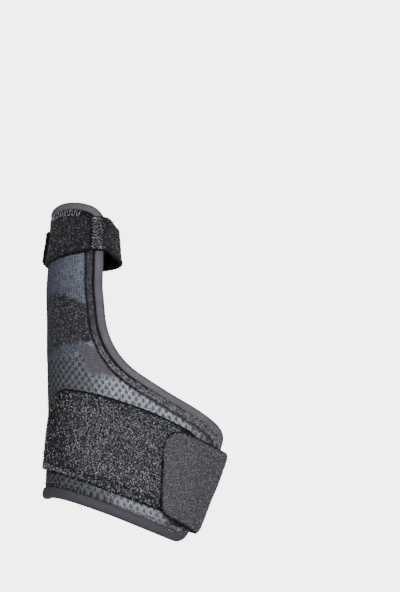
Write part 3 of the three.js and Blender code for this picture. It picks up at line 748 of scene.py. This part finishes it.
# The coverstitch beside the binding: looper threads that curl from side to side of its band, and
# along the hem one loose pale thread in their place.
FINE_STEP = 0.5
STITCH_MIDDLE = 5.65              # from the wrap's edge to the middle of the coverstitch's band
TAPE_OVER_KNIT = 1.45
LOOSE_IN, LOOSE_FROM, LOOSE_TO = 6.7, 40, 76     # where the loose thread lies along the hem
THREAD_RADIUS = 0.17


def curled(shift, swing, back, height):
    """A looper thread's path: it swings across the band and curls back along it at each turn. On
    the wide flap it also crosses the binding's inner side."""
    outline = wrap_outline(FINE_STEP)
    flap = (1 - smooth_step(outline[1], 0.40, 0.55)) * (outline[0] > 0)
    middle, swing = STITCH_MIDDLE - 0.9 * flap, swing * (1 + 0.45 * flap)
    number = np.arange(len(outline[0]))
    step = np.arange(2 * int(HEM_RUN / FINE_STEP), 2 * len(number)) / 2
    turn = 2 * np.pi * (step * FINE_STEP / NEEDLE_STEP + shift)
    at = step + back / FINE_STEP * (np.sin(2 * turn + 0.6) + 0.7 * np.sin(0.37 * turn))
    share = (1 + (0.82 + 0.18 * np.sin(0.71 * turn)) * np.cos(turn)) / 2
    outer, inner = (
        [np.interp(at, number, part, period=len(number)) for part in inset(outline, middle + side * swing)]
        for side in (-1, 1)
    )
    reach, level = (outer[k] * (1 - share) + inner[k] * share for k in (0, 1))
    middle_there, swing_there = (np.interp(at, number, part, period=len(number)) for part in (middle, swing))
    away = middle_there + (2 * share - 1) * swing_there
    on_tape = TAPE_OVER_KNIT * (1 - smooth_step(away, 3.5, 4.3))
    return lifted(reach, level, BODY_WALL + on_tape + height + 0.12 * np.sin(2 * turn)), False


loose = inset(wrap_outline(FINE_STEP), LOOSE_IN)
loose = tuple(part[int(LOOSE_FROM / FINE_STEP):int(LOOSE_TO / FINE_STEP)] for part in loose)
paths = [
    curled(0.0, 1.1, 0.38, 0.15), curled(0.5, 1.0, 0.42, 0.13), curled(0.27, 0.7, 0.5, 0.25),
    (lifted(*loose, np.full(len(loose[0]), BODY_WALL + 0.2)), False),
]
coverstitch = sew("coverstitch", paths, THREAD_RADIUS, thread)
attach(binding, "root")
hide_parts("edge_binding")
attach(coverstitch, "root")


# The wide panel on the back of the wrist is black brushed nylon, a loop fabric that the strap's
# hooks grip. It lies on the knit and is sewn down along all its edges, close to the border.
LAYER_GAP = 0.35
OVER_BODY = BODY_WALL + LAYER_GAP
PANEL_WALL, PANEL_SEAM_DEPTH = 1.3, 0.55
OVER_PANEL = OVER_BODY + PANEL_WALL + LAYER_GAP
PILE_ROOT = 0.05                  # how deep the loops' feet stand in the cloth
PANEL_EDGES = {
    "reach": [-0.05, 0.25, 0.55, 0.80],
    "low": [0.098, 0.090, 0.080, 0.074],
    "high": [0.370, 0.383, 0.366, 0.330],
}
PANEL_SLANT = 0.17
SEAM_IN, LOW_SEAM_IN = 0.9, 2.9   # how far inside its edge the seam runs
SEAM_SUNK, SEAM_RADIUS = 0.38, 0.2


def strip(first, last, low, high, corners, rows, columns):
    """Places of a strip with round corners, given at its two ends' low and high side."""
    (first_low, first_high), (last_low, last_high) = corners
    middle = (first(0.5) + last(0.5)) / 2
    height = (high(middle) - low(middle)) * RADIAL_HEIGHT
    around = half((low(middle) + high(middle)) / 2)
    bend = 1 - np.cos(np.linspace(0, np.pi / 2, 7))
    lowest = bend * max(first_low, last_low) / height
    highest = 1 - bend[::-1] * max(first_high, last_high) / height
    share = np.concatenate([lowest, np.linspace(lowest[-1], highest[0], rows + 1)[1:-1], highest])[:, None]

    def back(low_corner, high_corner):
        at_low = drawn_back(share * height, low_corner)
        at_high = drawn_back((1 - share) * height, high_corner)
        return (at_low + at_high) / around

    start, end = first(share) + back(first_low, first_high), last(share) - back(last_low, last_high)
    reach = start + (end - start) * np.linspace(0, 1, columns + 1)
    return reach, low(reach) + (high(reach) - low(reach)) * share


def straight_end(reach):
    return lambda share: reach + 0 * share


def border_of(shape):
    number = np.arange(shape[0] * shape[1]).reshape(shape)
    return np.concatenate([number[0, :-1], number[:-1, -1], number[-1, :0:-1], number[:0:-1, 0]])


def make_cloth(name, places, under, wall, relief, edge):
    """A closed sheet of cloth over a grid of places, with a soft edge. edge is how far each place
    lies from the sheet's border, and its material darkens there, partly as painted shadow."""
    reach, level = places
    outer = quads(reach.shape)
    border = border_of(reach.shape)
    following = np.roll(border, -1)
    walls = np.stack([border, border + reach.size, following + reach.size, following], 1)
    top = lifted(reach, level, under + wall + relief).reshape(-1, 3)
    low = lifted(reach, level, under + 0 * reach).reshape(-1, 3)
    flat = np.stack([(reach * half(level)).ravel(), (level * RADIAL_HEIGHT).ravel()], 1)
    faces = np.concatenate([outer, outer[:, ::-1] + reach.size, walls])
    edge = np.concatenate([edge.ravel() / EDGE_SPAN, np.zeros(edge.size)])
    piece = make_piece(name, np.concatenate([top, low]), faces, np.concatenate([flat, flat]), edge=edge)
    soft = piece.modifiers.new("soft_edge", "SUBSURF")
    soft.levels = soft.render_levels = 1
    return piece


def from_border(places):
    """How far each place lies from the border of its grid, in millimetres."""
    points = surface(*places).reshape(-1, 3)
    border = points[border_of(places[0].shape)]
    halfway = (border + np.roll(border, -1, 0)) / 2
    closer = np.stack([border, halfway], 1).reshape(-1, 3)
    return beside(points, closer)[0].reshape(places[0].shape)


def pile_tree():
    """Geometry Nodes that grow curled loops of yarn on a fabric's face."""
    tree, given = start_tree("loop_pile", ["Loops per square metre", "Loop size", "Yarn radius"])
    cover = add_node(tree, "GeometryNodeInputNamedAttribute", {"Name": "cover"}, data_type="FLOAT")
    thick = add_node(tree, "ShaderNodeMath", {
        0: given["Loops per square metre"], 1: cover.outputs[0],
    }, operation="MULTIPLY")
    scattered = add_node(tree, "GeometryNodeDistributePointsOnFaces", {
        "Mesh": given["Geometry"], "Density": thick.outputs[0], "Seed": 4,
    })
    arch = add_node(tree, "GeometryNodeCurveQuadraticBezier", {
        "Resolution": 3, "Start": (-0.5, 0, -0.15), "Middle": (0.25, 0.6, 1.1), "End": (0.5, -0.3, -0.1),
    })
    sized = add_node(tree, "GeometryNodeTransform", {"Geometry": arch.outputs[0]})
    grow = add_node(tree, "ShaderNodeCombineXYZ", {
        0: given["Loop size"], 1: given["Loop size"], 2: given["Loop size"],
    })
    tree.links.new(grow.outputs[0], sized.inputs["Scale"])
    section = add_node(tree, "GeometryNodeCurvePrimitiveCircle", {
        "Resolution": 3, "Radius": given["Yarn radius"],
    })
    loop = add_node(tree, "GeometryNodeCurveToMesh", {
        "Curve": sized.outputs[0], "Profile Curve": section.outputs[0],
    })
    turn = add_node(tree, "FunctionNodeRandomValue", {
        0: (-0.7, -0.7, -np.pi), 1: (0.7, 0.7, np.pi), "Seed": 11,
    }, data_type="FLOAT_VECTOR")
    turned = add_node(tree, "FunctionNodeRotateRotation", {
        0: scattered.outputs["Rotation"],
        1: add_node(tree, "FunctionNodeEulerToRotation", {0: turn.outputs[0]}).outputs[0],
    }, rotation_space="LOCAL")
    growth = add_node(tree, "FunctionNodeRandomValue", {2: 0.65, 3: 1.25, "Seed": 23}, data_type="FLOAT")
    loops = add_node(tree, "GeometryNodeInstanceOnPoints", {
        "Points": scattered.outputs["Points"],
        "Instance": loop.outputs[0],
        "Rotation": turned.outputs[0],
        "Scale": growth.outputs[1],
    })
    tone = add_node(tree, "FunctionNodeRandomValue", {2: 0.0, 3: 1.0, "Seed": 37}, data_type="FLOAT")
    toned = add_node(tree, "GeometryNodeStoreNamedAttribute", {
        "Geometry": loops.outputs[0], "Name": "tone", "Value": tone.outputs[1],
    }, data_type="FLOAT", domain="INSTANCE")
    return end_tree(tree, toned.outputs[0], given["Finish"])


LOOP_PILE = pile_tree()


def grow_pile(name, places, lift, density, size, radius, finish, cover):
    """Loops of yarn over a grid of places. density is per square millimetre where cover is 1."""
    points = lifted(*places, lift).reshape(-1, 3)
    base = make_piece("ground", points, quads(cover.shape), cover=cover.ravel())
    return grown(name, base, LOOP_PILE, {
        "Loops per square metre": density / MM ** 2,
        "Loop size": size * MM,
        "Yarn radius": radius * MM,
        "Finish": finish,
    })


def brushed_ground(name, low, high):
    """The knitted ground of a brushed loop fabric: matte, in tufts 0.7 mm apart, mottled about every
    millimetre where the pile shades it, and nearly black at its edge and underside: partly the edge's
    own dark colour and partly painted shadow where the cloth meets what lies under it."""
    material, tree, shader = new_finish(name, 0.95, 0.03, "#9a9aa0")
    fabric = add_node(tree, "ShaderNodeUVMap", uv_map="fabric").outputs["UV"]
    tufts = add_node(tree, "ShaderNodeTexVoronoi", {"Vector": fabric, "Scale": 1400.0})
    cloud = add_node(tree, "ShaderNodeTexNoise", {
        "Vector": fabric, "Scale": 900.0, "Detail": 4.0, "Roughness": 0.7,
    })
    mottled = add_node(tree, "ShaderNodeValToRGB", {"Fac": cloud.outputs["Fac"]}, stops=[
        (0.35, low), (0.68, high),
    ])
    edge = add_node(tree, "ShaderNodeAttribute", attribute_name="edge")
    # Painted shadow, with the edge's own darkness: nearly black along the cloth's border and underside.
    dark_edge_and_shadow = add_node(tree, "ShaderNodeValToRGB", {"Fac": edge.outputs["Fac"]}, stops=[
        (0.5 / EDGE_SPAN, "#222224"), (1.3 / EDGE_SPAN, "#ffffff"),
    ])
    colour = add_node(tree, "ShaderNodeMix", {0: 1.0, 6: mottled.outputs[0], 7: dark_edge_and_shadow.outputs[0]}, **TIMES)
    tree.links.new(colour.outputs[2], shader.inputs["Base Color"])
    bump = add_node(tree, "ShaderNodeBump", {
        "Height": tufts.outputs["Distance"], "Strength": 0.9, "Distance": 0.0004,
    }, invert=True)
    tree.links.new(bump.outputs[0], shader.inputs["Normal"])
    return material


def pile_yarn(name, stops):
    """Loop yarn whose tone differs from loop to loop."""
    material, tree, shader = new_finish(name, 0.6, 0.15, "#c8c8d0")
    tone = add_node(tree, "ShaderNodeAttribute", attribute_name="tone")
    toned = add_node(tree, "ShaderNodeValToRGB", {"Fac": tone.outputs["Fac"]}, stops=stops)
    tree.links.new(toned.outputs[0], shader.inputs["Base Color"])
    return material


def panel_low(reach):
    return along(PANEL_EDGES, "reach", "low", reach)


def panel_high(reach):
    return along(PANEL_EDGES, "reach", "high", reach)


def panel_first(share):
    return PANEL_EDGES["reach"][0] + PANEL_SLANT * share


panel_places = strip(
    panel_first, straight_end(PANEL_EDGES["reach"][-1]), panel_low, panel_high, ((3, 6), (6, 6)), 34, 76,
)


def panel_seam_in(reach, level):
    """How far inside the panel's border its seam runs: deeper along the lower edge."""
    from_low = (level - panel_low(reach)) * RADIAL_HEIGHT
    return SEAM_IN + (LOW_SEAM_IN - SEAM_IN) * (1 - smooth_step(from_low, 3.5, 6.5))


def panel_sewn(places, edge):
    seam_in = panel_seam_in(*places)
    return np.exp(-((edge - seam_in) / (0.54 + 0.09 * seam_in)) ** 4)


edge_distance = from_border(panel_places)
uneven = 0.06 * np.sin(panel_places[0] * 61 + panel_places[1] * 40) * np.sin(panel_places[1] * 97)
sewn_down = -PANEL_SEAM_DEPTH * panel_sewn(panel_places, edge_distance)
panel = make_cloth("wrist_panel", panel_places, OVER_BODY, PANEL_WALL, uneven + sewn_down, edge_distance)

# Brushed nylon, black: the ground is near black, and dense curled loops of it catch the light.
black_ground = brushed_ground("brushed_nylon_black", "#0d0d0f", "#1e1e21")
black_yarn = pile_yarn("black_nylon_loops", [
    (0.0, "#212124"), (0.4, "#5c5c61"), (0.75, "#98989e"), (1.0, "#c8c8cc"),
])
panel.data.materials.append(black_ground)
SHOWN_TO = 0.70                   # the pile ends under the strap's hook end
# The pile stands full outside the seam and thins within it, as painted shade: a little near the border,
# and most of all at the thumb side, where the panel turns away from the light.
cover = smooth_step(edge_distance, 0.5, 1.0) * (1 - panel_sewn(panel_places, edge_distance))
pile_thinned_as_shade = 1 - (0.75 + 0.25 * smooth_step(edge_distance, 1.5, 7)) * (
    0.14 + 0.86 * smooth_step(panel_places[0], 0.08, 0.36))
seam_in = panel_seam_in(*panel_places)
cover *= 1 - pile_thinned_as_shade * smooth_step(edge_distance, seam_in - 0.3, seam_in + 1.2)
cover *= panel_places[0] < SHOWN_TO
panel_pile = grow_pile(
    "wrist_panel_pile", panel_places, OVER_BODY + PANEL_WALL - PILE_ROOT + uneven,
    density=4.8, size=0.70, radius=0.078, finish=black_yarn, cover=cover,
)
border = border_of(panel_places[0].shape)
seam_loop = spaced(tuple(part.ravel()[border] for part in panel_places), OUTLINE_STEP)
seam_in = panel_seam_in(*seam_loop)
seam_height = OVER_BODY + PANEL_WALL - SEAM_SUNK
seam_path = lifted(*inset(seam_loop, seam_in), np.full(len(seam_in), seam_height))
black_thread = thread_finish("bonded_black_thread", 0.6, 0.05, "#909098", 900.0, [
    (0.35, "#0f0f12"), (0.65, "#222225"),
])
panel_seam = sew("wrist_panel_seam", [(seam_path, True)], SEAM_RADIUS, black_thread)
for piece in (panel, panel_pile, panel_seam):
    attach(piece, "root")
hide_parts("wrist_loop_panel")


# The patch round the thumb is the same black loop fabric, cut to stop short of the binding on
# three sides and sewn to the knit below the rim.
PATCH_WALL, PATCH_SEAM_DEPTH = 1.1, 0.35
OVER_PATCH = OVER_BODY + PATCH_WALL + LAYER_GAP
PATCH_SEAM_IN, PATCH_SEAM_WIDE = 1.2, 0.5
PATCH_EDGE = {"reach": [-0.60, 0.00, 0.60], "low": [0.835, 0.808, 0.842]}
PATCH_MARGIN = 4.75


def patch_low(reach):
    return along(PATCH_EDGE, "reach", "low", reach)


def patch_high(reach):
    return 1 - PATCH_MARGIN / RADIAL_HEIGHT + crown(reach)


def patch_end(share):
    level = patch_low(0.65) * (1 - share) + share
    return along(WRAP_SIDES, "level", "dorsal", level) - PATCH_MARGIN / half(level)


patch_places = strip(
    lambda share: -patch_end(share), patch_end, patch_low, patch_high, ((4, 4), (1.5, 4)), 16, 60,
)
edge_distance = from_border(patch_places)
seam = np.exp(-((edge_distance - PATCH_SEAM_IN) / PATCH_SEAM_WIDE) ** 2)
thumb_patch = make_cloth(
    "thumb_patch", patch_places, OVER_BODY, PATCH_WALL, -PATCH_SEAM_DEPTH * seam, edge_distance,
)
thumb_patch.data.materials.append(black_ground)
# The same brushed nylon with a shorter pile, which looks blacker.
short_yarn = pile_yarn("short_black_nylon_loops", [
    (0.0, "#131315"), (0.5, "#2c2c30"), (0.85, "#5c5c61"), (1.0, "#909095"),
])
patch_pile = grow_pile(
    "thumb_patch_pile", patch_places, OVER_BODY + PATCH_WALL - PILE_ROOT,
    density=4.2, size=0.62, radius=0.075, finish=short_yarn,
    cover=smooth_step(edge_distance, 0.3, 0.8) * (1 - 0.6 * seam),
)

# Spun polyester thread, paler than the coverstitch's: it zigzags between the binding and the
# patch's top edge.
pale_thread = thread_finish("pale_polyester_thread", 0.7, 0.1, "#d8d4dc", 800.0, [
    (0.32, "#48454b"), (0.5, "#7a767c"), (0.68, "#b2aeb4"),
])
RIM_ROWS = (4.1, 6.3)             # how far in from the wrap's edge the stitches turn
STITCH_LIFT = 0.12                # of the thread's middle over the cloth
rim = wrap_outline(NEEDLE_STEP / 2)
shown = (rim[1] > 0.97) & (np.abs(rim[0]) < 0.5)
odd = np.arange(shown.sum())[:, None] % 2 == 1
outer_row, inner_row = (
    np.stack([part[shown] for part in inset(rim, distance)], 1) for distance in RIM_ROWS
)
corners = np.stack([np.where(odd, inner_row, outer_row), np.where(odd, outer_row, inner_row)], 1)
corners = corners.reshape(-1, 2)
rim_path = lifted(corners[:, 0], corners[:, 1], np.full(len(corners), OVER_BODY + PATCH_WALL + STITCH_LIFT))
patch_stitches = sew("thumb_patch_stitches", [(rim_path, False)], THREAD_RADIUS, pale_thread)
for piece in (thumb_patch, patch_pile, patch_stitches):
    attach(piece, "root")
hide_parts("thumb_loop_patch")


# The wrist strap is a wide band of brushed loop fabric on foam, mauve-grey, sewn to the palm side
# of the wrap. It goes round the far side and its rounded hook end is pressed on the panel.
STRAP_WALL = 1.8
STRAP_WIDTH = 37.5
STRAP_RUN = {"reach": [0.61, 0.75, 0.90, 1.15, 1.45], "drop": [0, 1.4, 3.2, 3.9, 3.0]}
STRAP_RIM, STRAP_SLANT = 9.9, 0.09
STRAP_PILE_ROOT = 0.08


def level_over(reach, level, distance):
    """The level that lies a distance above another, along the surface."""
    return walk(reach, level, unit(tangents(reach, level)[1]), distance)[1]


def strap_low(reach):
    reach = np.asarray(reach, float)
    drop = along(STRAP_RUN, "reach", "drop", reach)
    return level_over(reach, np.zeros_like(reach), STRAP_RIM - drop)


def strap_high(reach):
    reach = np.asarray(reach, float)
    return level_over(reach, strap_low(reach), np.full(reach.shape, STRAP_WIDTH))


def strap_under(reach, level):
    """How high the strap's underside lies: over the panel, and then down to its sewn end."""
    palmar = along(WRAP_SIDES, "level", "palmar", level)
    seam = 2 - palmar + PATCH_MARGIN / half(level)
    down = smooth_step((reach - seam) / ((STRAP_RUN["reach"][-1] - seam) / 2), 0, 1)
    return OVER_PANEL + (OVER_BODY - OVER_PANEL) * down


strap_places = strip(
    lambda share: STRAP_RUN["reach"][0] + STRAP_SLANT * (1 - share), straight_end(STRAP_RUN["reach"][-1]),
    strap_low, strap_high, ((4, 10.5), (1.5, 1.5)), 26, 80,
)
edge_distance = from_border(strap_places)
uneven = 0.10 * np.sin(strap_places[0] * 29) * np.sin(strap_places[1] * 55 + strap_places[0] * 12)
edge_roll = -0.30 * np.exp(-(edge_distance / 0.9) ** 2)
edge_roll -= 0.45 * np.exp(-(edge_distance / 2.2) ** 2) * smooth_step(strap_places[0], 0.84, 0.95)
under = strap_under(*strap_places)
strap = make_cloth("wrist_strap_cloth", strap_places, under, STRAP_WALL, uneven + edge_roll, edge_distance)

# Brushed nylon, mauve-grey: shorter pile than the panel, so it looks smoother and paler.
grey_ground = brushed_ground("brushed_nylon_mauve_grey", "#343135", "#4b484d")
grey_yarn = pile_yarn("mauve_grey_nylon_loops", [
    (0.0, "#4a474c"), (0.5, "#6c686e"), (0.85, "#87838a"), (1.0, "#a09ca2"),
])
strap.data.materials.append(grey_ground)
strap_top = under + STRAP_WALL - STRAP_PILE_ROOT + uneven + edge_roll
# The pile thins toward the far side, as painted shade where the strap turns away from the light.
strap_pile = grow_pile(
    "wrist_strap_pile", strap_places, strap_top, density=4.1, size=0.66, radius=0.085, finish=grey_yarn,
    cover=smooth_step(edge_distance, 0.5, 1.1) * (1 - 0.5 * smooth_step(strap_places[0], 0.66, 0.84)),
)
for piece in (strap, strap_pile):
    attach(piece, "root")
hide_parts("wrist_strap")


# The thumb strap is a narrow black band of the same kind. It is sewn to the wrap's edge beside the
# thumb, goes round behind the thumb, and its hook end is pressed on the patch at the thumb side.
THUMB_STRAP_WALL = 1.3
THUMB_STRAP_WIDTH = 15
THUMB_STRAP_RIM = 5.2
ON_THUMB, STRAP_FALL = 0.5, 8     # the strap comes down to the thumb within its fall past the patch
THUMB_STRAP_RUN = {"reach": [0.555, 0.70, 0.90, 1.30, 2.03], "drop": [0, 0.3, 2.1, 2.7, 2.7]}
THUMB_STRAP_ENDS = (0.532, 2.03)


def thumb_strap_high(reach):
    return 1 - (THUMB_STRAP_RIM + along(THUMB_STRAP_RUN, "reach", "drop", reach)) / RADIAL_HEIGHT


def thumb_strap_low(reach):
    return thumb_strap_high(reach) - THUMB_STRAP_WIDTH / RADIAL_HEIGHT


def thumb_strap_under(reach, level):
    """How high the strap's underside lies: over the patch, and down on the thumb behind it."""
    past = np.minimum(
        reach - along(WRAP_SIDES, "level", "dorsal", level),
        2 - along(WRAP_SIDES, "level", "palmar", level) - reach,
    )
    fall = np.clip(past * half(level) / STRAP_FALL, 0, 1)
    return ON_THUMB + (OVER_PATCH - ON_THUMB) * (1 - fall) ** 2


thumb_places = strip(
    straight_end(THUMB_STRAP_ENDS[0]), straight_end(THUMB_STRAP_ENDS[1]),
    thumb_strap_low, thumb_strap_high, ((1.5, 1.5), (4, 4)), 14, 100,
)
edge_distance = from_border(thumb_places)
under = thumb_strap_under(*thumb_places)
edge_roll = -0.25 * np.exp(-(edge_distance / 0.8) ** 2)
thumb_strap = make_cloth("thumb_strap_cloth", thumb_places, under, THUMB_STRAP_WALL, edge_roll, edge_distance)
thumb_strap.data.materials.append(black_ground)
thumb_pile = grow_pile(
    "thumb_strap_pile", thumb_places, under + THUMB_STRAP_WALL - STRAP_PILE_ROOT,
    density=3.6, size=0.58, radius=0.075, finish=short_yarn, cover=smooth_step(edge_distance, 0.2, 0.7),
)

# The strap's root is held by rows of thick zigzag stitches in the pale thread. Each row has its
# reach, how far it swings and how often it turns.
ROOT_ROWS = ((0.556, 0.014, 20), (0.583, 0.012, 17), (0.612, 0.014, 21))
ROOT_MARGIN, ROOT_THREAD_RADIUS = 0.006, 0.2
bars = []
for at, swing, turns in ROOT_ROWS:
    share = np.linspace(0, 1, turns + 1)
    low, high = thumb_strap_low(at) + ROOT_MARGIN, thumb_strap_high(at) - ROOT_MARGIN
    level = low + (high - low) * share + 0.003 * np.sin(share * 57 + at * 40)
    reach = at + swing * np.where(np.arange(turns + 1) % 2 == 0, 1, -1) + 0.005 * np.sin(share * 83 + at * 90)
    top = thumb_strap_under(reach, level) + THUMB_STRAP_WALL + STITCH_LIFT
    bars.append((lifted(reach, level, top + 0.1 * np.sin(share * 91)), False))
root_stitches = sew("thumb_strap_stitches", bars, ROOT_THREAD_RADIUS, pale_thread)
for piece in (thumb_strap, thumb_pile, root_stitches):
    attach(piece, "root")
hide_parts("thumb_strap")


# The splint is held up over a plain pale floor in soft studio light, and seen straight on to its
# dorsal side, from far enough that it hardly foreshortens. These sizes are in metres.
VIEW_HEIGHT = 0.2605
VIEW_MIDDLE = (0.0366, -0.012, 0.0987)
DISTANCE = 8.0
FLOOR_LEVEL, FLOOR_SPAN = -0.16, 1.2
LIT_PLACE = (0.01, 0, 0.07)
camera_data = bpy.data.cameras.new("front_camera")
camera_data.sensor_fit = "VERTICAL"
camera_data.sensor_height = 24
camera_data.lens = camera_data.sensor_height * DISTANCE / VIEW_HEIGHT
camera = bpy.data.objects.new("front_camera", camera_data)
camera.location = (VIEW_MIDDLE[0], VIEW_MIDDLE[1] - DISTANCE, VIEW_MIDDLE[2])
camera.rotation_euler = (np.pi / 2, 0, 0)
bpy.context.scene.collection.objects.link(camera)
bpy.context.scene.camera = camera

floor = make_piece(
    "studio_floor",
    np.array([[-1, -1, 0], [1, -1, 0], [1, 1, 0], [-1, 1, 0]]) * FLOOR_SPAN / MM + [0, 0, FLOOR_LEVEL / MM],
    np.array([[0, 1, 2, 3]]),
)
paper, tree, shader = new_finish("matte_studio_paper", 0.9, 0.0, "#ffffff")
shader.inputs["Base Color"].default_value = paint("#e9e9ea")
floor.data.materials.append(paper)

world = bpy.data.worlds.new("pale_studio")
world.use_nodes = True
tree = world.node_tree
tree.nodes.clear()
ambient = add_node(tree, "ShaderNodeBackground", {"Color": paint("#f4f5f7"), "Strength": 0.27})
backdrop = add_node(tree, "ShaderNodeBackground", {"Color": paint("#ffffff"), "Strength": 5.0})
seen = add_node(tree, "ShaderNodeLightPath")
either = add_node(tree, "ShaderNodeMixShader", {
    0: seen.outputs[0], 1: ambient.outputs[0], 2: backdrop.outputs[0],
})
add_node(tree, "ShaderNodeOutputWorld", {"Surface": either.outputs[0]})
bpy.context.scene.world = world


def add_softbox(name, place, size, power):
    """A square lamp that is turned to the middle of the splint."""
    light = bpy.data.lights.new(name, "AREA")
    light.shape = "SQUARE"
    light.size = size
    light.energy = power
    lamp = bpy.data.objects.new(name, light)
    lamp.location = place
    lamp.rotation_euler = (Vector(LIT_PLACE) - Vector(place)).to_track_quat("-Z", "Y").to_euler()
    bpy.context.scene.collection.objects.link(lamp)


add_softbox("key_softbox", (0.08, -1.32, 0.40), 0.5, 19.5)
add_softbox("fill_softbox", (0.9, -0.9, 0.1), 0.8, 2.5)
add_softbox("back_softbox", (0.2, 1.2, 0.8), 0.8, 10)

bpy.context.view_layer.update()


def plain(box):
    return [[float(value) for value in corner] for corner in box]
